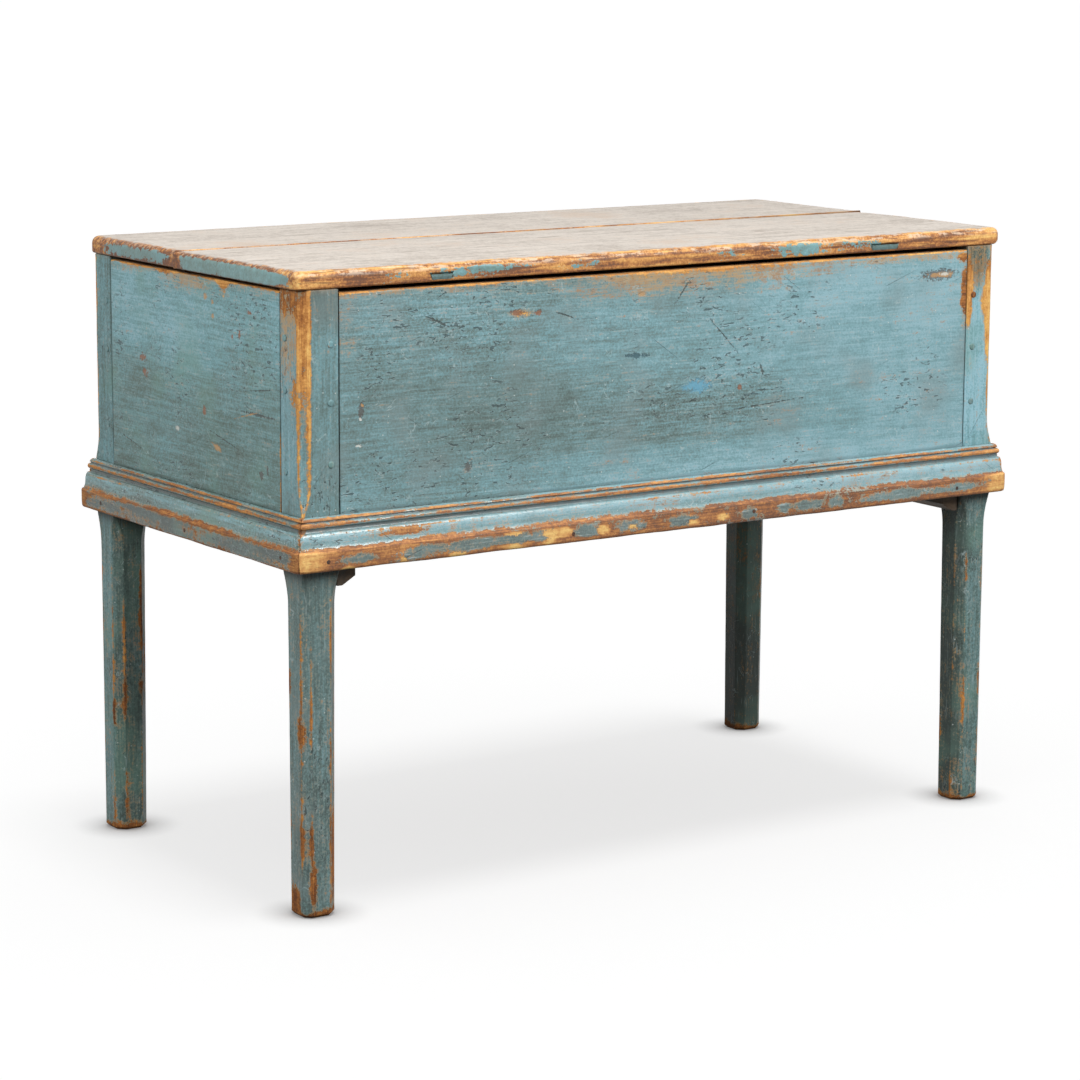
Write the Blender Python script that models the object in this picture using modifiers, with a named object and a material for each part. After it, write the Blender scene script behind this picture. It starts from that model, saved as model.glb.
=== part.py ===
"""A dough box on four legs.

Wide boards are tenoned and pegged into four corner posts that run down as legs. A mitred moulding
goes round the foot of the box, the bottom boards lie on two cleats, and the lid is two boards
held flat by tapered dovetail battens and hung on a pair of iron butt hinges at the back.
Metres, +Z up. The origin is on the floor under the middle of the box, and the front faces -Y.
"""

import math

import bmesh
import bpy
from mathutils import Matrix, Vector

# Fits
FIT_GAP = 0.0003
CUT_OVERSHOOT = 0.004
SEAM_MERGE = 0.00005
SMOOTH_ANGLE = math.radians(30)

# Box, over the outer faces of its posts
BOX_LENGTH = 1.050
BOX_DEPTH = 0.522
BOX_BOTTOM = 0.417

# Corner posts
POST_SIDE = 0.050
POST_HEIGHT = 0.7435
POST_CHAMFER = 0.010
POST_STOP_LENGTH = 0.034
POST_ARRIS = 0.0006
LEG_SETBACK = 0.001
LEG_TAPER = 0.0025
LEG_OUTER_CHAMFER = 0.009
LEG_CHAMFER = 0.011
LEG_STOP_LENGTH = 0.046
FOOT_BEVEL = 0.004
STOP_STEPS = 5

# Panels, flush with the outer faces of the posts
PANEL_THICKNESS = 0.022
PANEL_ARRIS = 0.0012
TENON_LENGTH = 0.022
TENON_THICKNESS = 0.010
TENON_FROM_FACE = 0.006
TENON_SHOULDER = 0.012

# Pegs through the post cheeks and the tenons
PEG_RADIUS = 0.0045
PEG_PAST_TENON = 0.010
PEG_PROUD = 0.001
PEG_DOME = 0.0008
PEG_FROM_JOINT = 0.0115
LONG_PEG_BELOW_TOP = 0.0635
LONG_PEG_ABOVE_MOULDING = 0.059
LONG_PEG_MIDDLE_SHARE = 0.486
END_PEG_BELOW_TOP = 0.0575
END_PEG_ABOVE_MOULDING = 0.049
END_PEG_MIDDLE_SHARE = 0.39
PEG_SIDES = 12

# Base moulding
MOULDING_HEIGHT = 0.064
MOULDING_PROJECTION = 0.0175
MOULDING_TOP_FILLET = 0.0015
MOULDING_TOP_BEAD = 0.0048
MOULDING_LOW_BEAD = 0.0038
MOULDING_QUIRK = 0.0012
MOULDING_FASCIA = 0.0255
MOULDING_FOOT_ROUND = 0.005
ARC_STEPS = 4

# Bottom boards and the cleats under them
BOTTOM_THICKNESS = 0.020
BOTTOM_BOARDS = ("front", "middle", "back")
CLEAT_WIDTH = 0.025
CLEAT_HEIGHT = 0.022
CLEAT_CHAMFER_WIDTH = 0.018
CLEAT_CHAMFER_HEIGHT = 0.0105
CLEAT_END_SETBACK = 0.008

# Lid
LID_THICKNESS = 0.022
LID_END_OVERHANG = 0.008
LID_FRONT_OVERHANG = 0.001
LID_SEAM_FROM_CENTRE = 0.030
LID_BACK_BOARD_SHORT = 0.003
LID_CORNER_ROUND = 0.013
LID_TOP_ROUND = 0.008
LID_UNDER_ROUND = 0.006
LID_CORNER_STEPS = 4
LID_EDGE_STEPS = 3
BATTEN_NARROW_END = 0.030
BATTEN_WIDE_END = 0.044
BATTEN_THICKNESS = 0.009
BATTEN_UNDERCUT = 0.003
BATTEN_FROM_HINGE = 0.038

# Butt hinges, their leaves lying between the back panel and the lid
HINGE_LENGTH = 0.070
HINGE_FROM_POST = 0.010
LEAF_DEPTH = 0.018
LEAF_THICKNESS = 0.0019
LEAF_GAP = 0.0004
KNUCKLE_RADIUS = 0.004
KNUCKLE_COUNT = 3
PIN_RADIUS = 0.002
HINGE_SIDES = 16
SCREW_HEAD_RADIUS = 0.0034
SCREW_SHANK_RADIUS = 0.0018
SCREW_LENGTH = 0.016
SCREW_SINK = 0.0001
SCREW_FROM_END = 0.014
SCREW_SIDES = 10

# Finishes: colour, roughness, metallic
BLUE_PAINT = ((0.14, 0.29, 0.32), 0.75, 0.0)
SCRUBBED_WOOD = ((0.60, 0.55, 0.50), 0.85, 0.0)
BARE_WOOD = ((0.36, 0.22, 0.11), 0.85, 0.0)
PEG_WOOD = ((0.40, 0.22, 0.10), 0.80, 0.0)
DARK_IRON = ((0.06, 0.05, 0.045), 0.55, 1.0)

# Levels and faces worked out from the sizes above
FACE_X = BOX_LENGTH / 2
FACE_Y = BOX_DEPTH / 2
PANEL_TOP = POST_HEIGHT - 2 * LEAF_THICKNESS - LEAF_GAP - FIT_GAP
MOULDING_TOP = BOX_BOTTOM + MOULDING_HEIGHT
LEG_SIDE_AT_TOP = POST_SIDE - 2 * LEG_SETBACK
LEG_SIDE_AT_FOOT = LEG_SIDE_AT_TOP - LEG_TAPER
PEG_DEPTH = TENON_FROM_FACE + TENON_THICKNESS + PEG_PAST_TENON
LID_UNDERSIDE = POST_HEIGHT + FIT_GAP
LID_TOP = LID_UNDERSIDE + LID_THICKNESS
LID_HALF_LENGTH = FACE_X + LID_END_OVERHANG
HINGE_X = FACE_X - POST_SIDE - HINGE_FROM_POST - HINGE_LENGTH / 2
BATTEN_X = HINGE_X - HINGE_LENGTH / 2 - BATTEN_FROM_HINGE - BATTEN_WIDE_END / 2
AXIS_Y = FACE_Y + KNUCKLE_RADIUS + FIT_GAP
AXIS_Z = PANEL_TOP + FIT_GAP + LEAF_THICKNESS + LEAF_GAP / 2
SIDES = {"front": (0, -1), "back": (0, 1), "left": (-1, 0), "right": (1, 0)}


def clear_scene():
    for obj in list(bpy.data.objects):
        bpy.data.objects.remove(obj, do_unlink=True)


def new_collection(name):
    collection = bpy.data.collections.new(name)
    bpy.context.scene.collection.children.link(collection)
    return collection


def new_empty(name, location):
    empty = bpy.data.objects.new(name, None)
    empty.location = location
    parts.objects.link(empty)
    return empty


def finish_material(name, finish):
    colour, roughness, metallic = finish
    material = bpy.data.materials.new(name)
    material.use_nodes = True
    shader = material.node_tree.nodes["Principled BSDF"]
    shader.inputs["Base Color"].default_value = (*colour, 1.0)
    shader.inputs["Roughness"].default_value = roughness
    shader.inputs["Metallic"].default_value = metallic
    return material


def object_from(bm, name, location, collection):
    mesh = bpy.data.meshes.new(name)
    bm.to_mesh(mesh)
    bm.free()
    mesh.shade_smooth()
    mesh.set_sharp_from_angle(angle=SMOOTH_ANGLE)
    obj = bpy.data.objects.new(name, mesh)
    obj.location = location
    collection.objects.link(obj)
    return obj


def as_part(obj, body, finish):
    """Gives a piece its finish and hangs it on a body's empty, where it already stands."""
    obj.data.materials.append(finish_material(obj.name, finish))
    obj.location = obj.location - body.location
    obj.parent = body
    return obj


def as_cutter(obj):
    obj.hide_render = True
    obj.display_type = "WIRE"
    return obj


def box_mesh(low, high):
    """A cube primitive stretched between two corners, about its own centre."""
    low, high = Vector(low), Vector(high)
    bm = bmesh.new()
    bmesh.ops.create_cube(bm, size=1.0, matrix=Matrix.Diagonal((*(high - low), 1.0)))
    return bm, (low + high) / 2


def box(name, low, high, collection):
    bm, centre = box_mesh(low, high)
    return object_from(bm, name, centre, collection)


def cutter_box(name, low, high):
    return as_cutter(box(name, low, high, cutters))


def eased_box(name, low, high, ease):
    """A box whose edges are all planed off a little."""
    obj = box(name, low, high, parts)
    bevel = obj.modifiers.new("ease", "BEVEL")
    bevel.width = ease
    bevel.segments = 1
    return obj


def loft_mesh(sections):
    """A closed skin over sections that all have the same number of points."""
    bm = bmesh.new()
    rings = [[bm.verts.new(point) for point in section] for section in sections]
    for lower, upper in zip(rings, rings[1:]):
        for i in range(len(lower)):
            j = (i + 1) % len(lower)
            bm.faces.new((lower[i], lower[j], upper[j], upper[i]))
    bm.faces.new(rings[0])
    bm.faces.new(rings[-1])
    bmesh.ops.recalc_face_normals(bm, faces=bm.faces)
    return bm


def turned(name, profile, steps, location, collection):
    """A turned piece about its own Z axis. The profile runs from its top to its bottom."""
    bm = bmesh.new()
    verts = [bm.verts.new((radius, 0.0, height)) for radius, height in profile]
    for upper, lower in zip(verts, verts[1:]):
        bm.edges.new((upper, lower))
    obj = object_from(bm, name, location, collection)
    screw = obj.modifiers.new("turn", "SCREW")
    screw.steps = steps
    screw.render_steps = steps
    screw.use_merge_vertices = True
    screw.merge_threshold = SEAM_MERGE
    return obj


def boolean(obj, other, operation):
    modifier = obj.modifiers.new(other.name, "BOOLEAN")
    modifier.operation = operation
    modifier.object = other
    modifier.solver = "EXACT"


def cut(obj, *others):
    for other in others:
        boolean(obj, other, "DIFFERENCE")


def arc(centre, radii, start, end, steps=ARC_STEPS):
    """Points on an ellipse's arc, angles in degrees from the outward direction."""
    angles = [math.radians(start + (end - start) * i / steps) for i in range(steps + 1)]
    return [(centre[0] + radii[0] * math.cos(a), centre[1] + radii[1] * math.sin(a)) for a in angles]


def outward(axis):
    """The turn that lays a piece's own Z axis along an outward direction of the box."""
    return Vector((*axis, 0.0)).to_track_quat("Z", "Y").to_euler()


# Corner posts


def post_section(setback, side, outer_chamfer, chamfer, z):
    """Eight points round a post, measured inwards from its outer corner."""
    near, far = setback, setback + side
    return [
        (near, near + outer_chamfer, z),
        (near + outer_chamfer, near, z),
        (far - chamfer, near, z),
        (far, near + chamfer, z),
        (far, far - chamfer, z),
        (far - chamfer, far, z),
        (near + chamfer, far, z),
        (near, far - chamfer, z),
    ]


def leg_sections():
    """The leg tapers to its foot, and its chamfers run out in a rounded stop under the moulding."""
    sole_loss = FOOT_BEVEL * (2 - math.sqrt(2))
    sole_side = LEG_SIDE_AT_FOOT - 2 * FOOT_BEVEL
    yield post_section(
        LEG_SETBACK + FOOT_BEVEL, sole_side, LEG_OUTER_CHAMFER - sole_loss, LEG_CHAMFER - sole_loss, 0.0
    )
    yield post_section(LEG_SETBACK, LEG_SIDE_AT_FOOT, LEG_OUTER_CHAMFER, LEG_CHAMFER, FOOT_BEVEL)
    for step in range(STOP_STEPS + 1):
        share = math.cos(math.pi / 2 * step / STOP_STEPS)
        outer_chamfer = POST_ARRIS + (LEG_OUTER_CHAMFER - POST_ARRIS) * share
        chamfer = POST_ARRIS + (LEG_CHAMFER - POST_ARRIS) * share
        side = POST_SIDE + (LEG_SIDE_AT_TOP - POST_SIDE) * share
        z = BOX_BOTTOM - LEG_STOP_LENGTH * (1 - step / STOP_STEPS)
        yield post_section(LEG_SETBACK * share, side, outer_chamfer, chamfer, z)


def box_post_sections():
    """Above the moulding only the outer corner is chamfered, from a rounded stop to the top."""
    for step in range(STOP_STEPS + 1):
        share = math.sin(math.pi / 2 * step / STOP_STEPS)
        chamfer = POST_ARRIS + (POST_CHAMFER - POST_ARRIS) * share
        z = MOULDING_TOP + POST_STOP_LENGTH * step / STOP_STEPS
        yield post_section(0.0, POST_SIDE, chamfer, POST_ARRIS, z)
    yield post_section(0.0, POST_SIDE, POST_CHAMFER, POST_ARRIS, POST_HEIGHT)


def make_post(depth_name, side_name):
    sign_x, sign_y = SIDES[side_name][0], SIDES[depth_name][1]
    sections = [
        [(-sign_x * u, -sign_y * v, z) for u, v, z in section]
        for section in (*leg_sections(), *box_post_sections())
    ]
    corner = (sign_x * FACE_X, sign_y * FACE_Y, 0.0)
    post = object_from(loft_mesh(sections), f"post_{depth_name}_{side_name}", corner, parts)
    return as_part(post, box_body, BLUE_PAINT)


# Joints between panels and posts


def joint_frame(panel_name, post_name):
    """The outward and lengthwise directions of a panel at the joint with one of its posts."""
    return Vector((*SIDES[panel_name], 0.0)), Vector((*SIDES[post_name], 0.0))


def on_joint(panel_name, post_name, along, inward, z):
    """A point measured from the joint line into the post, and inwards from the panel's face."""
    out, run = joint_frame(panel_name, post_name)
    half_run = abs(run.x) * FACE_X + abs(run.y) * FACE_Y - POST_SIDE
    face = abs(out.x) * FACE_X + abs(out.y) * FACE_Y
    return run * (half_run + along) + out * (face - inward) + Vector((0.0, 0.0, z))


def corners_of(first, second):
    low = [min(pair) for pair in zip(first, second)]
    high = [max(pair) for pair in zip(first, second)]
    return low, high


def mortise_cutter(panel_name, post_name):
    deep = on_joint(
        panel_name,
        post_name,
        TENON_LENGTH + FIT_GAP,
        TENON_FROM_FACE + TENON_THICKNESS + FIT_GAP,
        BOX_BOTTOM + TENON_SHOULDER - FIT_GAP,
    )
    shallow = on_joint(
        panel_name,
        post_name,
        -CUT_OVERSHOOT,
        TENON_FROM_FACE - FIT_GAP,
        PANEL_TOP - TENON_SHOULDER + FIT_GAP,
    )
    return cutter_box(f"mortise_{panel_name}_{post_name}", *corners_of(deep, shallow))


def peg_heights(panel_name):
    """The heights of a joint's three pegs, from the top one down."""
    if panel_name in ("front", "back"):
        top = POST_HEIGHT - LONG_PEG_BELOW_TOP
        foot = MOULDING_TOP + LONG_PEG_ABOVE_MOULDING
        share = LONG_PEG_MIDDLE_SHARE
    else:
        top = POST_HEIGHT - END_PEG_BELOW_TOP
        foot = MOULDING_TOP + END_PEG_ABOVE_MOULDING
        share = END_PEG_MIDDLE_SHARE
    return top, top - share * (top - foot), foot


def peg_hole_cutter(panel_name, post_name):
    """The three peg holes of a joint, as one cutter."""
    out, _ = joint_frame(panel_name, post_name)
    depth = PEG_DEPTH + FIT_GAP + CUT_OVERSHOOT
    turn = outward(SIDES[panel_name]).to_matrix().to_4x4()
    bm = bmesh.new()
    for height in peg_heights(panel_name):
        mouth = on_joint(panel_name, post_name, PEG_FROM_JOINT, -CUT_OVERSHOOT, height)
        bmesh.ops.create_cone(
            bm,
            cap_ends=True,
            segments=PEG_SIDES,
            radius1=PEG_RADIUS + FIT_GAP,
            radius2=PEG_RADIUS + FIT_GAP,
            depth=depth,
            matrix=Matrix.Translation(mouth - out * depth / 2) @ turn,
        )
    return as_cutter(object_from(bm, f"peg_holes_{panel_name}_{post_name}", (0, 0, 0), cutters))


def make_pegs(panel_name, post_name):
    profile = [
        (0.0, PEG_PROUD),
        (PEG_RADIUS / 2, PEG_PROUD),
        (PEG_RADIUS, PEG_PROUD - PEG_DOME),
        (PEG_RADIUS, -PEG_DEPTH),
        (0.0, -PEG_DEPTH),
    ]
    for number, height in enumerate(peg_heights(panel_name), start=1):
        mouth = on_joint(panel_name, post_name, PEG_FROM_JOINT, 0.0, height)
        name = f"peg_{panel_name}_{post_name}_{number}"
        peg = turned(name, profile, PEG_SIDES, mouth, parts)
        peg.rotation_euler = outward(SIDES[panel_name])
        as_part(peg, box_body, PEG_WOOD)


# Panels


def make_panel(name, ends):
    """A wide board with a tenon strip through its middle that stands out at both ends."""
    first, second = ends
    bottom_corner = on_joint(name, first, -FIT_GAP, 0.0, BOX_BOTTOM)
    top_corner = on_joint(name, second, -FIT_GAP, PANEL_THICKNESS, PANEL_TOP)
    panel = eased_box(f"panel_{name}", *corners_of(bottom_corner, top_corner), PANEL_ARRIS)
    strip_bottom = on_joint(name, first, TENON_LENGTH, TENON_FROM_FACE, BOX_BOTTOM + TENON_SHOULDER)
    strip_top = on_joint(
        name, second, TENON_LENGTH, TENON_FROM_FACE + TENON_THICKNESS, PANEL_TOP - TENON_SHOULDER
    )
    strip = cutter_box(f"tenons_{name}", *corners_of(strip_bottom, strip_top))
    boolean(panel, strip, "UNION")
    return as_part(panel, box_body, BLUE_PAINT)


# Base moulding


def moulding_profile():
    """Projection and height of the moulding: two beads, an ogee and a plain fascia."""
    height, reach = MOULDING_HEIGHT, MOULDING_PROJECTION
    bead_foot = height - MOULDING_TOP_BEAD
    bead_reach = MOULDING_TOP_FILLET + MOULDING_TOP_BEAD
    low_centre = (bead_reach - MOULDING_QUIRK, bead_foot - MOULDING_QUIRK - MOULDING_LOW_BEAD)
    low_foot = low_centre[1] - MOULDING_LOW_BEAD
    ogee_top = low_foot - MOULDING_QUIRK
    ogee_in = low_centre[0] + MOULDING_LOW_BEAD - MOULDING_QUIRK / 2
    ogee_out = reach - MOULDING_QUIRK
    ogee_middle = ((ogee_in + ogee_out) / 2, (ogee_top + MOULDING_FASCIA) / 2)
    half_reach = (ogee_out - ogee_in) / 2
    half_drop = (ogee_top - MOULDING_FASCIA) / 2
    foot_centre = (reach - MOULDING_FOOT_ROUND, MOULDING_FOOT_ROUND)
    return [
        (FIT_GAP, height),
        *arc((MOULDING_TOP_FILLET, bead_foot), (MOULDING_TOP_BEAD,) * 2, 90, 0),
        (bead_reach - MOULDING_QUIRK, bead_foot - MOULDING_QUIRK / 2),
        *arc(low_centre, (MOULDING_LOW_BEAD,) * 2, 70, -60),
        (ogee_in - MOULDING_QUIRK, ogee_top),
        *arc((ogee_in, ogee_middle[1]), (half_reach, half_drop), 90, 0),
        *arc((ogee_out, ogee_middle[1]), (half_reach, half_drop), 180, 270)[1:],
        (reach, MOULDING_FASCIA - MOULDING_QUIRK),
        *arc(foot_centre, (MOULDING_FOOT_ROUND,) * 2, 0, -90),
        (FIT_GAP, 0.0),
    ]


def make_moulding(name):
    """One bar of the moulding along a side of the box, mitred at both ends."""
    out = Vector((*SIDES[name], 0.0))
    run = Vector((abs(out.y), abs(out.x), 0.0))
    half_run = run.x * FACE_X + run.y * FACE_Y
    face = abs(out.x) * FACE_X + abs(out.y) * FACE_Y
    mitre_gap = FIT_GAP / math.sqrt(2)
    sections = [
        [
            run * end * (half_run + reach - mitre_gap) + out * reach + Vector((0.0, 0.0, height))
            for reach, height in moulding_profile()
        ]
        for end in (-1, 1)
    ]
    place = out * face + Vector((0.0, 0.0, BOX_BOTTOM))
    moulding = object_from(loft_mesh(sections), f"moulding_{name}", place, parts)
    return as_part(moulding, box_body, BLUE_PAINT)


# Bottom boards and cleats


def notch_cutter(depth_name, side_name):
    """The post's corner, taken out of the bottom board that meets it."""
    sign_x, sign_y = SIDES[side_name][0], SIDES[depth_name][1]
    inner_x = FACE_X - POST_SIDE - FIT_GAP
    inner_y = FACE_Y - POST_SIDE - FIT_GAP
    inner = (sign_x * inner_x, sign_y * inner_y, BOX_BOTTOM - CUT_OVERSHOOT)
    outer = (sign_x * FACE_X, sign_y * FACE_Y, BOX_BOTTOM + BOTTOM_THICKNESS + CUT_OVERSHOOT)
    return cutter_box(f"notch_{depth_name}_{side_name}", *corners_of(inner, outer))


def make_bottom():
    """Boards side by side between the panels, the outer two notched round the posts."""
    inner_x = FACE_X - PANEL_THICKNESS - FIT_GAP
    inner_y = FACE_Y - PANEL_THICKNESS - FIT_GAP
    pitch = 2 * inner_y / len(BOTTOM_BOARDS)
    for number, board_name in enumerate(BOTTOM_BOARDS):
        near = -inner_y + number * pitch + FIT_GAP / 2
        low = (-inner_x, near, BOX_BOTTOM)
        high = (inner_x, near + pitch - FIT_GAP, BOX_BOTTOM + BOTTOM_THICKNESS)
        board = box(f"bottom_board_{board_name}", low, high, parts)
        as_part(board, box_body, BARE_WOOD)
        if board_name in SIDES:
            cut(board, notch_cutter(board_name, "left"), notch_cutter(board_name, "right"))


def make_cleat(name):
    """A bar from leg to leg under the bottom boards, its lower inner edge taken off."""
    sign = SIDES[name][0]
    half_run = FACE_Y - CLEAT_END_SETBACK
    profile = [
        (0.0, 0.0),
        (CLEAT_WIDTH, 0.0),
        (CLEAT_WIDTH, -CLEAT_HEIGHT + CLEAT_CHAMFER_HEIGHT),
        (CLEAT_WIDTH - CLEAT_CHAMFER_WIDTH, -CLEAT_HEIGHT),
        (0.0, -CLEAT_HEIGHT),
    ]
    sections = [[(-sign * u, y, z) for u, z in profile] for y in (-half_run, half_run)]
    place = (sign * (FACE_X - POST_SIDE - FIT_GAP), 0.0, BOX_BOTTOM - FIT_GAP)
    cleat = object_from(loft_mesh(sections), f"bottom_cleat_{name}", place, parts)
    return as_part(cleat, box_body, BLUE_PAINT)


# Lid


def lid_slab(name, left_end, collection):
    """The whole lid as one slab that starts at left_end, with rounded corners and edges."""
    low = (left_end, -FACE_Y - LID_FRONT_OVERHANG, LID_UNDERSIDE)
    high = (LID_HALF_LENGTH, FACE_Y, LID_TOP)
    bm, centre = box_mesh(low, high)
    upright = [e for e in bm.edges if e.verts[0].co.z * e.verts[1].co.z < 0]
    bmesh.ops.bevel(
        bm,
        geom=upright,
        offset=LID_CORNER_ROUND,
        segments=LID_CORNER_STEPS,
        profile=0.5,
        affect="EDGES",
    )
    for level, rounding in ((1, LID_TOP_ROUND), (-1, LID_UNDER_ROUND)):
        height = level * LID_THICKNESS / 2
        rim = [e for e in bm.edges if all(abs(v.co.z - height) < FIT_GAP for v in e.verts)]
        bmesh.ops.bevel(
            bm, geom=rim, offset=rounding, segments=LID_EDGE_STEPS, profile=0.5, affect="EDGES"
        )
    return object_from(bm, name, centre, collection)


def make_lid_boards():
    """The front board and the slightly shorter back board, which meet at the seam."""
    seam_y = LID_SEAM_FROM_CENTRE
    reach_x = LID_HALF_LENGTH + CUT_OVERSHOOT
    reach_y = FACE_Y + LID_FRONT_OVERHANG + CUT_OVERSHOOT
    spans = {
        "front": (-LID_HALF_LENGTH, -reach_y, seam_y - FIT_GAP / 2),
        "back": (-LID_HALF_LENGTH + LID_BACK_BOARD_SHORT, seam_y + FIT_GAP / 2, reach_y),
    }
    boards = {}
    for name, (left_end, near, far) in spans.items():
        board = lid_slab(f"lid_board_{name}", left_end, parts)
        low = (-reach_x, near, LID_UNDERSIDE - CUT_OVERSHOOT)
        high = (reach_x, far, LID_TOP + CUT_OVERSHOOT)
        boolean(board, cutter_box(f"lid_half_{name}", low, high), "INTERSECT")
        boards[name] = as_part(board, lid_body, SCRUBBED_WOOD)
    return boards


def batten_mesh(front_width, back_width, grow, overrun):
    """A dovetail bar, wider at one end, and undercut so that it can't drop out of the lid."""
    half_run = FACE_Y + LID_FRONT_OVERHANG + overrun
    sections = []
    for y, width in ((-half_run, front_width), (half_run, back_width)):
        section = []
        for height in (-overrun, BATTEN_THICKNESS + grow):
            undercut = BATTEN_UNDERCUT * (1 - height / BATTEN_THICKNESS)
            half_width = width / 2 - undercut + grow
            section += [(-half_width, y, height), (half_width, y, height)]
        section[2:] = reversed(section[2:])
        sections.append(section)
    return loft_mesh(sections)


def make_lid_battens(boards):
    """The battens fit flush in the underside, and their ends follow the lid's rounded edge."""
    widths = {
        "left": (BATTEN_NARROW_END, BATTEN_WIDE_END),
        "right": (BATTEN_WIDE_END, BATTEN_NARROW_END),
    }
    for name, (front_width, back_width) in widths.items():
        place = Vector((SIDES[name][0] * BATTEN_X, 0.0, LID_UNDERSIDE))
        slot_mesh = batten_mesh(front_width, back_width, FIT_GAP, CUT_OVERSHOOT)
        slot = as_cutter(object_from(slot_mesh, f"batten_slot_{name}", place, cutters))
        for board in boards.values():
            cut(board, slot)
        bar_mesh = batten_mesh(front_width, back_width, 0.0, 0.0)
        bar = object_from(bar_mesh, f"lid_batten_{name}", place, parts)
        outline = lid_slab(f"lid_outline_{name}", -LID_HALF_LENGTH, cutters)
        boolean(bar, as_cutter(outline), "INTERSECT")
        as_part(bar, lid_body, BARE_WOOD)


# Hinges


def rod(name, centre, radius, length, sides, collection):
    """A round bar along X."""
    bm = bmesh.new()
    turn = Matrix.Rotation(math.pi / 2, 4, "Y")
    bmesh.ops.create_cone(
        bm,
        cap_ends=True,
        segments=sides,
        radius1=radius,
        radius2=radius,
        depth=length,
        matrix=turn,
    )
    return object_from(bm, name, centre, collection)


def screw_profile(grow, mouth):
    """A countersunk screw from its head down, grown for its hole."""
    head_foot = SCREW_HEAD_RADIUS - SCREW_SHANK_RADIUS
    tip = SCREW_LENGTH + grow
    outline = [
        (SCREW_HEAD_RADIUS + grow, 0.0),
        (SCREW_SHANK_RADIUS + grow, -head_foot),
        (SCREW_SHANK_RADIUS + grow, -tip),
        (0.0, -tip),
    ]
    if mouth:
        outline.insert(0, (SCREW_HEAD_RADIUS + grow, mouth))
    return [(0.0, mouth), *outline]


def make_screws(hinge_name, leaf_name, centre_x, face_z, up, body, holed):
    """Two screws in a leaf, and their holes in the leaf and in the wood behind it."""
    leaf_middle = FACE_Y - LEAF_DEPTH / 2
    for number, end in enumerate((-1, 1), start=1):
        x = centre_x + end * (HINGE_LENGTH / 2 - SCREW_FROM_END)
        place = Vector((x, leaf_middle, face_z - up * SCREW_SINK))
        turn = (0.0, 0.0, 0.0) if up > 0 else (math.pi, 0.0, 0.0)
        name = f"hinge_{hinge_name}_{leaf_name}_screw_{number}"
        screw = turned(name, screw_profile(0.0, 0.0), SCREW_SIDES, place, parts)
        screw.rotation_euler = turn
        as_part(screw, body, DARK_IRON)
        mouth = LEAF_GAP / 2 + SCREW_SINK
        profile = screw_profile(FIT_GAP, mouth)
        hole = as_cutter(turned(f"{name}_hole", profile, SCREW_SIDES, place, cutters))
        hole.rotation_euler = turn
        for piece in holed:
            cut(piece, hole)


def make_leaf(name, centre_x, low_z, knuckles, bore, body):
    """A flat plate, and the knuckles on its back edge that stand on its own share of the pin."""
    knuckle_length = HINGE_LENGTH / KNUCKLE_COUNT
    half = HINGE_LENGTH / 2
    plate_back = AXIS_Y - KNUCKLE_RADIUS - FIT_GAP
    high_z = low_z + LEAF_THICKNESS
    plate = box(
        name,
        (centre_x - half, FACE_Y - LEAF_DEPTH, low_z),
        (centre_x + half, plate_back, high_z),
        parts,
    )
    for number in knuckles:
        start = centre_x - half + number * knuckle_length + FIT_GAP / 2
        end = start + knuckle_length - FIT_GAP
        tab_low = (start, plate_back - LEAF_DEPTH / 2, low_z)
        tab_high = (end, AXIS_Y, high_z)
        boolean(plate, cutter_box(f"{name}_tab_{number}", tab_low, tab_high), "UNION")
        centre = ((start + end) / 2, AXIS_Y, AXIS_Z)
        round_bar = rod(
            f"{name}_knuckle_{number}", centre, KNUCKLE_RADIUS, end - start, HINGE_SIDES, cutters
        )
        boolean(plate, as_cutter(round_bar), "UNION")
    cut(plate, bore)
    return as_part(plate, body, DARK_IRON)


def make_hinge(name, panel_back, board_back):
    centre_x = SIDES[name][0] * HINGE_X
    centre = (centre_x, AXIS_Y, AXIS_Z)
    bore_length = HINGE_LENGTH + 2 * CUT_OVERSHOOT
    bore = rod(f"hinge_{name}_bore", centre, PIN_RADIUS + FIT_GAP, bore_length, HINGE_SIDES, cutters)
    as_cutter(bore)
    pin = rod(f"hinge_{name}_pin", centre, PIN_RADIUS, HINGE_LENGTH, HINGE_SIDES, parts)
    as_part(pin, box_body, DARK_IRON)
    box_leaf_low = PANEL_TOP + FIT_GAP
    lid_leaf_low = AXIS_Z + LEAF_GAP / 2
    outer_knuckles = range(0, KNUCKLE_COUNT, 2)
    inner_knuckles = range(1, KNUCKLE_COUNT, 2)
    box_leaf = make_leaf(f"hinge_{name}_box_leaf", centre_x, box_leaf_low, outer_knuckles, bore, box_body)
    lid_leaf = make_leaf(f"hinge_{name}_lid_leaf", centre_x, lid_leaf_low, inner_knuckles, bore, lid_body)
    box_face = box_leaf_low + LEAF_THICKNESS
    make_screws(name, "box", centre_x, box_face, 1, box_body, (box_leaf, panel_back))
    make_screws(name, "lid", centre_x, lid_leaf_low, -1, lid_body, (lid_leaf, board_back))


clear_scene()
parts = new_collection("dough_box")
cutters = new_collection("dough_box_cutters")
box_body = new_empty("box", (0.0, 0.0, 0.0))
lid_body = new_empty("lid", (0.0, AXIS_Y, AXIS_Z))

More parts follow.
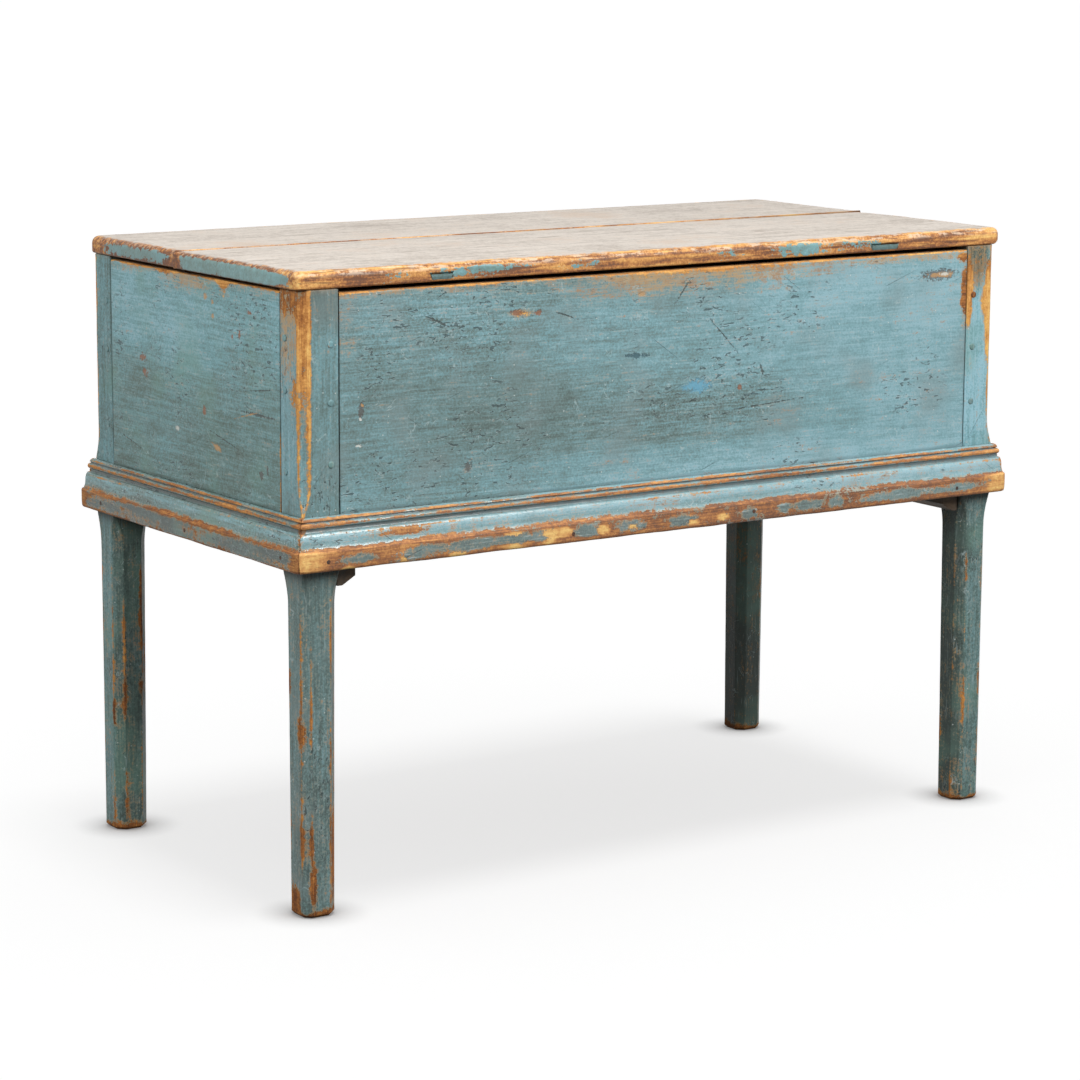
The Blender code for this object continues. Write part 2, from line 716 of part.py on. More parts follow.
panels = {
    "front": make_panel("front", ("left", "right")),
    "back": make_panel("back", ("left", "right")),
    "left": make_panel("left", ("front", "back")),
    "right": make_panel("right", ("front", "back")),
}
for depth in ("front", "back"):
    for side in ("left", "right"):
        post = make_post(depth, side)
        for panel_side, post_side in ((depth, side), (side, depth)):
            peg_holes = peg_hole_cutter(panel_side, post_side)
            cut(post, peg_holes, mortise_cutter(panel_side, post_side))
            cut(panels[panel_side], peg_holes)
            make_pegs(panel_side, post_side)
for moulding_side in SIDES:
    make_moulding(moulding_side)
make_bottom()
for cleat_side in ("left", "right"):
    make_cleat(cleat_side)
lid_boards = make_lid_boards()
make_lid_battens(lid_boards)
for hinge_side in ("left", "right"):
    make_hinge(hinge_side, panels["back"], lid_boards["back"])
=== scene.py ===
"""The looks of the dough box: worn blue-green paint on pine, a scrubbed lid and soft studio light."""

import math

import bmesh
import bpy
import numpy as np
from mathutils import Matrix, Vector, noise


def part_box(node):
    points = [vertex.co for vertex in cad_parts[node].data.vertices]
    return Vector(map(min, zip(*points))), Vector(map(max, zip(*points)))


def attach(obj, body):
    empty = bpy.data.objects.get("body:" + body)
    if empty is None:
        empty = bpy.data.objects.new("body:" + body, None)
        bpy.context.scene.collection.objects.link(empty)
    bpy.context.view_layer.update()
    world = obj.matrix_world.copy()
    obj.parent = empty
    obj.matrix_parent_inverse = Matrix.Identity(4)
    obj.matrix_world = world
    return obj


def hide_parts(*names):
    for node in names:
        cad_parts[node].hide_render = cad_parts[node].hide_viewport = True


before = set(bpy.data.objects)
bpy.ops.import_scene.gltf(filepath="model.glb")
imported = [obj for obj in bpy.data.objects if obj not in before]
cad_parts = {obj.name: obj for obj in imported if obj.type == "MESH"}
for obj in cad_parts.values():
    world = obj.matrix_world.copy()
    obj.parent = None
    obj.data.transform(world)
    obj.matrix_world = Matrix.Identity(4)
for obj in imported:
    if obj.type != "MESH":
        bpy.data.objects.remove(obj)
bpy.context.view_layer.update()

# Camera, as the photograph was taken
CAMERA_PLACE = (-2.5194, -3.6782, 1.1840)
CAMERA_YAW, CAMERA_PITCH, CAMERA_ROLL = (math.radians(a) for a in (34.2301, 10.4355, 0.2769))
SENSOR_WIDTH, LENS, CLIP_END = 36.0, 116.03, 60.0

# Light of the studio, and what the floor shows and throws back
HORIZON_LIGHT, ZENITH_LIGHT = 0.10, 0.40
OVERHEAD_STRENGTH, OVERHEAD_SPREAD = 0.60, math.radians(18)
FLOOR_REACH = 80.0
FLOOR_SHADE, FLOOR_SHADE_SEEN, FLOOR_GLOW = 0.10, 0.66, 0.69
# How far the feet darken the floor's glow beside them, a painted contact shadow, and the glow that is left
# there
CONTACT_REACH, CONTACT_SHADE = 0.05, 0.20

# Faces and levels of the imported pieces, in metres
post_low, post_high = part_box("post_front_right")
panel_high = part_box("panel_front")[1]
moulding_low, moulding_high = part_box("moulding_front")
front_board_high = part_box("lid_board_front")[1]
back_board_low, back_board_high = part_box("lid_board_back")
FACE_X, FACE_Y, POST_TOP = post_high.x, -post_low.y, post_high.z
PANEL_TOP = panel_high.z
PANEL_THICKNESS = FACE_Y + panel_high.y
BOX_BOTTOM, MOULDING_TOP = moulding_low.z, moulding_high.z
MOULDING_REACH = -moulding_low.y - FACE_Y
SEAM_Y = (front_board_high.y + back_board_low.y) / 2
LID_BACK = back_board_high.y
LID_TOP = max(front_board_high.z, back_board_high.z)
GAP = 0.0003

SIDES = {"front": (0, -1), "back": (0, 1), "left": (-1, 0), "right": (1, 0)}
UP = np.array((0.0, 0.0, 1.0))


def linear(red, green, blue):
    """A screen colour, 0 to 255, as the linear colour that shaders take."""
    return tuple(
        c / 12.92 if c <= 0.04045 else ((c + 0.055) / 1.055) ** 2.4
        for c in (red / 255, green / 255, blue / 255)
    )


def shades(*rows):
    """Stops of a colour ramp, from rows of a position and a screen colour."""
    return tuple((position, linear(*colour)) for position, *colour in rows)


# Colours of the finishes
PAINT_SHADES = shades(
    (-1.0, 62, 72, 68), (-0.5, 84, 103, 98), (0.0, 104, 134, 135),
    (0.5, 119, 163, 171), (1.0, 150, 190, 201),
)
PAINT_GREEN = linear(112, 148, 134)
PAINT_GREY = linear(124, 140, 140)
WORN_WOOD = shades((0.0, 104, 64, 38), (0.3, 158, 101, 53), (0.65, 208, 149, 82), (1.1, 238, 196, 118))
STAIN = linear(184, 146, 96)
STAIN_DARK = linear(164, 118, 66)
# Pale colour of scuffs and of painted highlights
SCUFF_AND_HIGHLIGHT = linear(176, 192, 192)
PIT = linear(50, 60, 60)
WHITE_SPECK = linear(214, 220, 216)
# Dark colour for soiling and for painted shade
GRIME_AND_SHADE = linear(34, 30, 26)
# Dark olive of the cleats: soiling, and painted shade
OLIVE_DIRT_AND_SHADE = linear(36, 38, 34)
BARE_PINE = linear(166, 126, 86)
BARE_PINE_DARK = linear(112, 80, 54)
SCRUBBED = shades((-0.35, 158, 147, 136), (0.0, 200, 191, 181), (0.3, 218, 210, 201))
SCRUBBED_TAN = linear(176, 140, 104)
SCRUBBED_MARK = linear(120, 98, 80)
# Pale burnished wood with painted highlight, for the lid's top arris
BURNISHED_HIGHLIGHT = linear(226, 204, 178)
SPLIT = linear(92, 58, 38)
IRON = linear(58, 50, 46)
RUST = linear(98, 62, 42)
MARK_COLOURS = {
    "scratch": linear(66, 70, 66),
    "gouge": linear(58, 88, 98),
    "stain": linear(88, 84, 80),
    "blue": linear(104, 164, 190),
    "rust": linear(142, 92, 62),
    "tan": linear(190, 148, 100),
    "white": linear(214, 216, 208),
}

# Fields that the meshes hold for the two kinds of old surface
# The grime field holds soiling and, where noted, painted shade
PAINT_FIELDS = ("wear", "raw", "stain", "tone", "pitted", "grime", "bare")
LID_FIELDS = ("rim", "painted", "raw", "tone", "pale", "grime", "bare")

# Depth of the relief in each finish
OLD_RELIEF, PINE_RELIEF, IRON_RELIEF = 0.0004, 0.0003, 0.0001


# Short names for shader nodes


class Value:
    """A node's output. Arithmetic on it adds Math nodes."""

    def __init__(self, nodes, socket):
        self.nodes, self.socket = nodes, socket

    def __add__(self, other):
        return self.nodes.math("ADD", self, other)

    def __sub__(self, other):
        return self.nodes.math("SUBTRACT", self, other)

    def __rsub__(self, other):
        return self.nodes.math("SUBTRACT", other, self)

    def __mul__(self, other):
        return self.nodes.math("MULTIPLY", self, other)

    __radd__, __rmul__ = __add__, __mul__

    def most(self, other):
        return self.nodes.math("MAXIMUM", self, other)

    def step(self, low, high):
        """0 at low, 1 at high, and smooth between."""
        inputs = {"Value": self, "From Min": low, "From Max": high}
        return self.nodes.node("MapRange", "Result", inputs, interpolation_type="SMOOTHSTEP")


class Nodes:
    """The node tree of a material or a world."""

    def __init__(self, owner):
        owner.use_nodes = True
        self.tree = owner.node_tree

    def feed(self, socket, value):
        if isinstance(value, Value):
            self.tree.links.new(value.socket, socket)
        elif isinstance(value, tuple) and len(socket.default_value) == 4:
            socket.default_value = (*value, 1.0)
        else:
            socket.default_value = value

    def node(self, kind, output, inputs, **settings):
        made = self.tree.nodes.new("ShaderNode" + kind)
        for key, value in settings.items():
            setattr(made, key, value)
        for key, value in inputs.items():
            self.feed(made.inputs[key], value)
        return Value(self, made.outputs[output])

    def math(self, operation, *values):
        return self.node("Math", 0, dict(enumerate(values)), operation=operation)

    def seen_directly(self):
        """1 for rays from the camera, in a mirror or through glass, and 0 for light that is scattered."""
        path = self.tree.nodes.new("ShaderNodeLightPath")
        rays = ("Is Camera Ray", "Is Glossy Ray", "Is Transmission Ray")
        camera, glossy, through = (Value(self, path.outputs[ray]) for ray in rays)
        return camera.most(glossy).most(through)


class Shade(Nodes):
    """A material in the making, patterned in the frame's own coordinates."""

    def __init__(self, name, grain):
        self.material = bpy.data.materials.new(name)
        super().__init__(self.material)
        self.shader = self.tree.nodes["Principled BSDF"]
        self.place = self.node("TexCoord", "Object", {})
        self.grain = grain

    def field(self, name):
        """A number that the mesh holds at each point."""
        return self.node("Attribute", "Fac", {}, attribute_name=name)

    def lengths(self, along, across):
        """Three lengths, one for the axis of the grain and another for the other two."""
        return tuple(along if axis == self.grain else across for axis in "xyz")

    def noise(self, scale, detail=2.0, roughness=0.5, distortion=0.0, place=None):
        inputs = {"Vector": place or self.place, "Scale": scale, "Detail": detail, "Roughness": roughness}
        return self.node("TexNoise", 0, {**inputs, "Distortion": distortion})

    def scaled(self, *scale):
        return self.node("VectorMath", 0, {0: self.place, 1: scale}, operation="MULTIPLY")

    def drawn(self, along, across, detail=2.0, distortion=0.0):
        """Noise drawn out along the grain."""
        place = self.scaled(*self.lengths(along, across))
        return self.noise(1.0, detail, distortion=distortion, place=place)

    def turned(self, axis, angle, size, centre):
        """Coordinates about a centre, turned about an axis and measured in parts of a size."""
        rotation = [angle if name == axis else 0.0 for name in "xyz"]
        inputs = {"Vector": self.place, "Location": centre, "Rotation": rotation, "Scale": size}
        return self.node("Mapping", 0, inputs, vector_type="TEXTURE")

    def mix(self, first, second, share):
        return self.node("Mix", 2, {0: share, 6: first, 7: second}, data_type="RGBA")

    def ramp(self, value, stops):
        """Colours along a value, from (position, colour) stops of any range."""
        low, high = stops[0][0], stops[-1][0]
        share = self.node("MapRange", "Result", {"Value": value, "From Min": low, "From Max": high})
        made = self.tree.nodes.new("ShaderNodeValToRGB")
        elements = made.color_ramp.elements
        for number, (position, colour) in enumerate(stops):
            element = elements[number] if number < 2 else elements.new(1.0)
            element.position = (position - low) / (high - low)
            element.color = (*colour, 1.0)
        self.feed(made.inputs[0], share)
        return Value(self, made.outputs[0])

    def finish(self, colour, roughness, height, relief, **others):
        normal = self.node("Bump", 0, {"Height": height, "Distance": relief, "Strength": 1.0})
        inputs = {"Base Color": colour, "Roughness": roughness, "Normal": normal, **others}
        for name, value in inputs.items():
            self.feed(self.shader.inputs[name], value)
        return self.material


# Finishes. Their factors and limits were set beside the photograph.


def bare_pine(shade):
    """Unpainted pine, browned with age, with its growth rings drawn out along the grain."""
    rings = shade.math("FRACT", shade.drawn(0.9, 10) * 24.0)
    rings = rings.step(0.15, 0.85) * (1.0 - rings.step(0.85, 1.0))
    fibre = shade.drawn(14, 520)
    cloud = shade.noise(7, 3)
    share = (fibre * 0.4 + cloud * 0.5 - rings * 0.28).step(-0.05, 0.62)
    return shade.mix(BARE_PINE_DARK, BARE_PINE, share), fibre


def soiled_and_shaded(shade, colour, grime, grit, mottle):
    """A colour darkened as the mesh's grime field asks: soiling in most places, painted shade where noted.
    """
    return shade.mix(colour, GRIME_AND_SHADE, (grime + grit * 0.4 + mottle * 0.3 - 0.05).step(0.0, 1.0) * 0.9)


def scratch_lines(shade, face_axis):
    """A few long thin scratches in two families, each at its own slant and in its own places."""
    families = []
    for number, slant in enumerate((0.62, -0.35)):
        centre = (number * 3.1, number * 1.7, number * 2.3)
        place = shade.turned(face_axis, slant, shade.lengths(0.13, 0.0017), centre)
        line = shade.noise(1.0, 0, place=place).step(0.785, 0.82)
        here = shade.noise(1.0, 1, place=shade.turned(face_axis, 0.0, (0.14,) * 3, centre))
        families.append(line * here.step(0.56, 0.66))
    return families[0].most(families[1])


def hairlines(shade):
    """Fine curved scratches, broken into short lengths."""
    drift = shade.noise(30, 3, distortion=0.8)
    line = 1.0 - shade.math("ABSOLUTE", drift - 0.5).step(0.003, 0.011)
    return line * shade.noise(46).step(0.55, 0.64)


def white_specks(shade):
    """Small flecks, in one cell in six."""
    cells = shade.tree.nodes.new("ShaderNodeTexVoronoi")
    shade.feed(cells.inputs["Vector"], shade.place)
    cells.inputs["Scale"].default_value = 125
    chosen = shade.node("SeparateColor", 0, {0: Value(shade, cells.outputs["Color"])})
    near = (0.14 - Value(shade, cells.outputs["Distance"])).step(0.0, 0.07)
    return near * chosen.step(0.82, 0.87)


def old_paint(
    name, grain, face_axis, marks=(), veil=PAINT_GREEN, veiled=0.0,
    gloss=0.3, smooth=0.46, scuffed=0.35, ragged=0.7,
):
    """Blue-green paint, rubbed through to the pine where the mesh's wear field is high."""
    shade = Shade(name, grain)
    wear, raw, stain, tone, pitted, grime, bare = map(shade.field, PAINT_FIELDS)
    broad = shade.drawn(3.0, 9.0) - 0.5
    smear = shade.drawn(16, 230, 3) - 0.5
    streak = shade.drawn(9, 95, 3) - 0.5
    brush = shade.drawn(26, 620) - 0.5
    cloud = shade.noise(21, 3) - 0.5
    mottle = shade.noise(105, 3) - 0.5
    grit = shade.noise(330, 3, 0.7) - 0.5

    fine = (smear * 0.9 + mottle * 0.6 + grit * 1.7 + brush * 0.8) * ((pitted + 0.10) * 4.5 + 1.0)
    paint = shade.ramp(tone + broad + cloud * 0.8 + streak * 0.6 + fine, PAINT_SHADES)
    paint = shade.mix(paint, veil, shade.noise(12).step(0.48, 0.72) * 0.40 + veiled)

    crowd = shade.noise(10)
    here = (crowd + pitted).step(0.44, 0.60)
    dashes = shade.drawn(100, 270, distortion=0.7)
    pits = dashes.step(0.615, 0.665) * here
    # Painted highlight: pale lips round the pits
    lips = dashes.step(0.565, 0.615) * here * (1.0 - pits)
    scuffs = shade.drawn(38, 330).step(0.60, 0.74) * (1.0 - crowd).step(0.40, 0.62)
    lines = scratch_lines(shade, face_axis)

    level = wear + streak * ragged + grit * 0.9 + cloud * 0.5 + mottle * 0.8
    exposed = level.step(0.46, 0.53)
    wood = shade.ramp(raw + streak * 0.8 + mottle * 0.8 + brush * 0.9 + grit * 1.0, WORN_WOOD)

    soak = stain + streak * 1.0 + cloud * 0.6 + brush * 1.4 + mottle * 1.3 + grit * 2.2
    soak = soak.step(0.24, 1.05).most(level.step(0.26, 0.48) * 0.7)
    ochre = shade.mix(STAIN, STAIN_DARK, (cloud + mottle + grit).step(-0.02, 0.3))
    colour = shade.mix(paint, ochre, soak * 0.8)
    # Scuffs and hairlines, with the painted highlight of the pits' lips
    rubs_and_highlights = (scuffs * scuffed).most(hairlines(shade) * 0.48).most(lips * 0.26)
    colour = shade.mix(colour, SCUFF_AND_HIGHLIGHT, rubs_and_highlights)
    colour = shade.mix(colour, PIT, (pits * 0.66).most(lines * 0.6))
    colour = shade.mix(colour, WHITE_SPECK, white_specks(shade) * 0.6)
    colour = shade.mix(colour, wood, exposed)

    dug = pits.most(lines)
    broken = grit * 2.4 + mottle * 1.6
    for kind, centre, half_length, half_width, slant in marks:
        place = shade.turned(face_axis, slant, shade.lengths(half_length, half_width), centre)
        reach = shade.node("VectorMath", "Value", {0: place}, operation="LENGTH")
        mark = 1.0 - (reach + broken).step(0.50, 1.0)
        colour = shade.mix(colour, MARK_COLOURS[kind], mark * 0.8)
        dug = dug.most(mark)
    pine, fibre = bare_pine(shade)
    colour = shade.mix(colour, pine, bare)
    colour = soiled_and_shaded(shade, colour, grime, grit, mottle)

    painted = (1.0 - exposed) * (1.0 - bare)
    roughness = 0.74 - painted * (0.74 - smooth) + cloud * 0.3
    height = brush * 0.4 + streak * 0.2 + mottle * 0.5 + grit * 0.5 + painted * 0.8 - dug * 1.3
    height = height + fibre * bare * 0.4
    return shade.finish(colour, roughness, height, OLD_RELIEF, **{"Specular IOR Level": gloss})


def scrubbed_lid(name):
    """Scrubbed bare boards, browned along their rims, with the paint worn off most of the edges."""
    shade = Shade(name, "x")
    rim, painted, raw, tone, pale, grime, bare = map(shade.field, LID_FIELDS)
    rings = shade.drawn(2.6, 60, 3) - 0.5
    fibre = shade.drawn(13, 230, 3) - 0.5
    streak = shade.noise(1.0, 3, place=shade.scaled(14, 120, 160)) - 0.5
    cloud = shade.noise(9, 3) - 0.5
    mottle = shade.noise(95, 3) - 0.5
    grit = shade.noise(310, 3, 0.7) - 0.5

    top = shade.ramp(rings * 0.4 + fibre * 0.5 + cloud * 0.7 + mottle * 0.6 + grit * 0.7, SCRUBBED)
    cracks = shade.drawn(11, 150, 1).step(0.66, 0.72) * shade.noise(8).step(0.44, 0.58)
    top = shade.mix(top, SCRUBBED_TAN, (cloud + mottle * 0.5).step(0.04, 0.26) * 0.35)
    top = shade.mix(top, SCRUBBED_MARK, cracks * 0.65)

    browned = (rim + streak * 0.6 + mottle * 0.9 + grit * 0.9).step(0.34, 0.66)
    share = raw + streak * 2.0 + fibre * 1.3 + grit * 1.4 + mottle * 0.7 + cloud * 0.7
    wood = shade.ramp(share, WORN_WOOD)
    # Painted highlight, with burnished wood, along the lid's top arris
    glint = shade.drawn(50, 210) + grit * 0.4
    wood = shade.mix(wood, BURNISHED_HIGHLIGHT, glint.step(0.48, 0.60) * pale * 0.75)
    wood = shade.mix(wood, SPLIT, shade.drawn(24, 300).step(0.585, 0.65) * 0.6)
    colour = shade.mix(top, wood, browned)

    film = (painted + streak * 0.9 + mottle * 0.8 + grit * 0.8).step(0.46, 0.53)
    paint = shade.ramp(tone + cloud * 1.2 + mottle * 1.3 + grit * 1.4, PAINT_SHADES)
    paint = shade.mix(paint, PAINT_GREEN, 0.25)
    colour = shade.mix(colour, paint, film)
    pine, _ = bare_pine(shade)
    colour = shade.mix(colour, pine, bare)
    colour = soiled_and_shaded(shade, colour, grime, grit, mottle)

    roughness = 0.74 - film * 0.22 - browned * 0.2 + cloud * 0.25
    height = fibre * 0.4 + rings * 0.2 + mottle * browned * 0.8 + grit * browned * 0.8
    return shade.finish(colour, roughness, height - cracks * 0.6 + film * 0.6, OLD_RELIEF)


def plain_pine(name, grain, dirt_and_shade=0.0, dirt_and_shade_colour=GRIME_AND_SHADE):
    """Bare pine with dirty patches rubbed in, darkened further by a given amount, which on the cleats is
    soiling and painted shade under the moulding.
    """
    shade = Shade(name, grain)
    pine, fibre = bare_pine(shade)
    colour = shade.mix(pine, dirt_and_shade_colour, shade.noise(24, 3).step(0.3, 0.8) * 0.3 + dirt_and_shade)
    return shade.finish(colour, 0.7 + fibre * 0.2, fibre, PINE_RELIEF)


def batten_pine(name):
    """Pine battens whose ends in the lid's edges keep their paint."""
    shade = Shade(name, "y")
    pine, fibre = bare_pine(shade)
    grit = shade.noise(240)
    across = shade.node("SeparateXYZ", "Y", {0: shade.place})
    end = shade.math("ABSOLUTE", across).step(LID_BACK - 0.005, LID_BACK - 0.003)
    paint = shade.ramp(grit * 1.2 - 0.9, PAINT_SHADES)
    colour = shade.mix(pine, paint, end * (grit + 0.35).step(0.45, 0.6))
    return shade.finish(colour, 0.8 - end * 0.2, fibre + grit, PINE_RELIEF)


def old_iron(name):
    shade = Shade(name, "z")
    cloud = shade.noise(160, 3)
    grit = shade.noise(900)
    colour = shade.mix(IRON, RUST, (cloud + (grit - 0.5) * 0.4).step(0.45, 0.7))
    return shade.finish(colour, 0.45 + cloud * 0.4, grit + cloud, IRON_RELIEF, Metallic=0.6)


# Meshes and their fields. Places and widths in the fields are in metres, and the amounts are given.


def each_vertex(mesh, name="co"):
    """The mesh's points, or its normals, as an array."""
    flat = np.empty(len(mesh.vertices) * 3)
    mesh.vertices.foreach_get(name, flat)
    return flat.reshape(-1, 3)


def set_points(mesh, points):
    mesh.vertices.foreach_set("co", points.astype(np.float32).ravel())
    mesh.update()


def waves(points, scale, seed=0.0):
    """Smooth noise at each point, about -1 to 1."""
    shift = Vector((seed, seed, seed))
    return np.array([noise.noise(Vector(p) * scale + shift) for p in points])


def waves_along(s, scales, seeds):
    """Smooth noise that changes along one direction only, at each of several scales."""
    line = np.c_[s, s * 0, s * 0]
    return [waves(line, scale, seed) for scale, seed in zip(scales, seeds)]


def dents(points, depth, scale, seed=0.0):
    """Depths of soft dents, from none to twice the depth."""
    return depth * (1 + waves(points, scale, seed))


def clip01(values):
    return np.clip(values, 0.0, 1.0)


def rise(values, start, length):
    """0 up to the start and 1 from a length further on. A negative length runs the other way."""
    return clip01((values - start) / length)


def band(distance, width):
    """1 at no distance, 0 at the width and beyond."""
    return clip01(1.0 - np.abs(distance) / width)


def spot(points, centre, radii):
    """1 at the centre of an ellipsoid, 0 at its skin and beyond."""
    return clip01(1.0 - np.linalg.norm((points - np.array(centre)) / np.array(radii), axis=1))


class Fields(dict):
    """Numbers at each point of a mesh that steer its material."""

    def add(self, name, values):
        self[name] = self[name] + values

    def lift(self, name, values):
        self[name] = np.maximum(self[name], values)


class Side:
    """A side of the box: the ways along it and out of it, its half length and how far out its face lies."""

    def __init__(self, name):
        self.name = name
        self.long = name in ("front", "back")
        self.out = np.array((*SIDES[name], 0.0))
        self.run = np.abs(self.out[[1, 0, 2]])
        self.half = self.run @ (FACE_X, FACE_Y, 0.0)
        self.face = np.abs(self.out) @ (FACE_X, FACE_Y, 0.0)
        self.grain, self.face_axis = "xy" if self.long else "yx"

    def place(self, along, outward, up):
        """Points from measures along the side, out from its face and up."""
        along, outward, up = (np.asarray(measure)[..., None] for measure in (along, outward, up))
        return self.run * along + self.out * (self.face + outward) + UP * up

    def measures(self, points):
        """Measures of points along the side, out from its face and up."""
        return points @ self.run, points @ self.out - self.face, points[:, 2]


def ring_faces(count, around):
    """Faces between rings of points that follow one another."""
    faces = []
    for i in range(count - 1):
        for j in range(around):
            k = (j + 1) % around
            faces.append((i * around + j, i * around + k, (i + 1) * around + k, (i + 1) * around + j))
    return faces


def closed_mesh(points, faces):
    """A mesh with its faces pointing out and smooth shading."""
    mesh = bpy.data.meshes.new("closed")
    mesh.from_pydata(np.asarray(points).tolist(), [], faces)
    bm = bmesh.new()
    bm.from_mesh(mesh)
    bmesh.ops.recalc_face_normals(bm, faces=bm.faces)
    bm.to_mesh(mesh)
    bm.free()
    mesh.shade_smooth()
    return mesh


def skin(rings):
    """A closed mesh over rings of points, capped at both ends."""
    rings = np.asarray(rings, float)
    count, around = rings.shape[:2]
    caps = [tuple(range(around)), tuple(range((count - 1) * around, count * around))]
    return closed_mesh(rings.reshape(-1, 3), ring_faces(count, around) + caps)


def sharpen_ends(mesh):
    """Keeps the smooth shading of a skin's sides off its end caps."""
    ends = {key for face in mesh.polygons if len(face.vertices) > 4 for key in face.edge_keys}
    for edge in mesh.edges:
        edge.use_edge_sharp = edge.key in ends


def put(name, data):
    """A new object in the scene."""
    obj = bpy.data.objects.new(name, data)
    bpy.context.scene.collection.objects.link(obj)
    return obj


def piece(name, mesh, material, body, slot, *nodes, **fields):
    """A visible piece that rides on a body and stands for CAD nodes."""
    mesh.name = name
    obj = put(name, mesh)
    mesh.materials.append(material)
    for field, values in fields.items():
        attribute = mesh.attributes.new(field, "FLOAT", "POINT")
        attribute.data.foreach_set("value", np.full(len(mesh.vertices), values, np.float32))
    normals = obj.modifiers.new("even_normals", "WEIGHTED_NORMAL")
    normals.weight = 60
    normals.keep_sharp = True
    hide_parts(*nodes)
    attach(obj, body)


# Corner posts

POST_SIDE = 0.050
POST_CHAMFER, POST_STOP = 0.010, 0.034
LEG_SETBACK, LEG_TAPER = 0.001, 0.0025
LEG_OUTER_CHAMFER, LEG_CHAMFER, LEG_STOP = 0.009, 0.011, 0.046
FOOT_BEVEL = 0.004
SQUARE_ARRIS, ARRIS_ROUND = 0.0012, 0.0008
POST_STEP = 0.006
# Height below which the feet keep all their wear
FOOT_WEAR = 0.03
# Patches rubbed through on the front left leg: place, radii and amount
FRONT_LEFT_LEG_WEAR = (
    ((-FACE_X + 0.002, -FACE_Y + 0.012, 0.225), (0.02, 0.011, 0.036), 1.0),
    ((-FACE_X + 0.043, -FACE_Y + 0.004, 0.075), (0.010, 0.02, 0.095), 1.4),
    ((-FACE_X + 0.012, -FACE_Y + 0.002, 0.040), (0.008, 0.02, 0.050), 1.2),
    ((-FACE_X + 0.004, -FACE_Y + 0.026, 0.010), (0.02, 0.020, 0.040), 1.3),
)
# Patches rubbed through on the front right post: x, z, half width, half height and amount
FRONT_RIGHT_WEAR = (
    (0.480, 0.690, 0.009, 0.075, 1.6),
    (0.514, 0.670, 0.011, 0.105, 1.5),
    (0.497, 0.735, 0.035, 0.045, 0.72),
    (0.504, 0.672, 0.009, 0.040, 0.95),
)


def rounded_outline(corners, radius, steps, edge_counts):
    """A closed outline with each corner rounded and each straight edge split, closely by its ends."""
    points = []
    for i, corner in enumerate(corners):
        before, after = corners[i - 1], corners[(i + 1) % len(corners)]
        to_before, to_after = before - corner, after - corner
        length_before, length_after = np.linalg.norm(to_before), np.linalg.norm(to_after)
        reach = min(radius, length_after * 0.3)
        start = corner + to_before / length_before * min(radius, length_before * 0.3)
        end = corner + to_after / length_after * reach
        next_start = after - to_after / length_after * reach
        for t in np.linspace(0, 1, steps + 1):
            points.append((1 - t) ** 2 * start + 2 * t * (1 - t) * corner + t * t * end)
        hold = 0.12 / edge_counts[i]
        for t in (hold, *np.linspace(0, 1, edge_counts[i])[1:-1], 1 - hold):
            points.append(end + (next_start - end) * t)
    return points


def octagon(near, far, outer, inner):
    """A square with its corners cut, by one length at the outer corner and another at the rest."""
    return [
        (near, near + outer), (near + outer, near), (far - inner, near), (far, near + inner),
        (far, far - inner), (far - inner, far), (near + inner, far), (near, far - inner),
    ]


def post_corners(z):
    """The post's eight corners at a height, measured inwards from its outer corner."""
    leg = math.sin(math.pi / 2 * rise(z, BOX_BOTTOM, -LEG_STOP))
    box = math.sin(math.pi / 2 * rise(z, MOULDING_TOP, POST_STOP))
    taper = LEG_TAPER * (1 - rise(z, 0.0, BOX_BOTTOM - LEG_STOP))
    bevel = max(FOOT_BEVEL - z, 0.0)
    near = LEG_SETBACK * leg + bevel
    far = near + (POST_SIDE - (2 * LEG_SETBACK + taper) * leg - 2 * bevel)
    square = SQUARE_ARRIS - bevel * (2 - math.sqrt(2))
    outer = square + (LEG_OUTER_CHAMFER - SQUARE_ARRIS) * leg + (POST_CHAMFER - SQUARE_ARRIS) * box
    inner = square + (LEG_CHAMFER - SQUARE_ARRIS) * leg
    return np.array(octagon(near, far, outer, inner))


def post_mesh(sign_x, sign_y):
    """A post's mesh, with small dents, and its points as they were before denting."""
    levels = [0.0, 0.001, 0.0025, FOOT_BEVEL]
    levels += [*np.arange(0.010, POST_TOP - 0.004, POST_STEP), POST_TOP - 0.0012, POST_TOP]
    rings = []
    for z in levels:
        corners = post_corners(z)
        if z == POST_TOP:
            centre = corners.mean(axis=0)
            corners = centre + (corners - centre) * 0.95
        outline = rounded_outline(corners, ARRIS_ROUND, 2, (4, 9) * 4)
        rings.append([(sign_x * (FACE_X - u), sign_y * (FACE_Y - v), z) for u, v in outline])
    mesh = skin(rings)
    points, normals = each_vertex(mesh), each_vertex(mesh, "normal")
    free = rise(points[:, 2], 0.0, 0.008) * rise(points[:, 2], POST_TOP, -0.006)
    dent = dents(points, 0.00012, 14, sign_x) + dents(points, 0.00012, 60, sign_y)
    set_points(mesh, points - normals * (dent * free)[:, None])
    return mesh, points


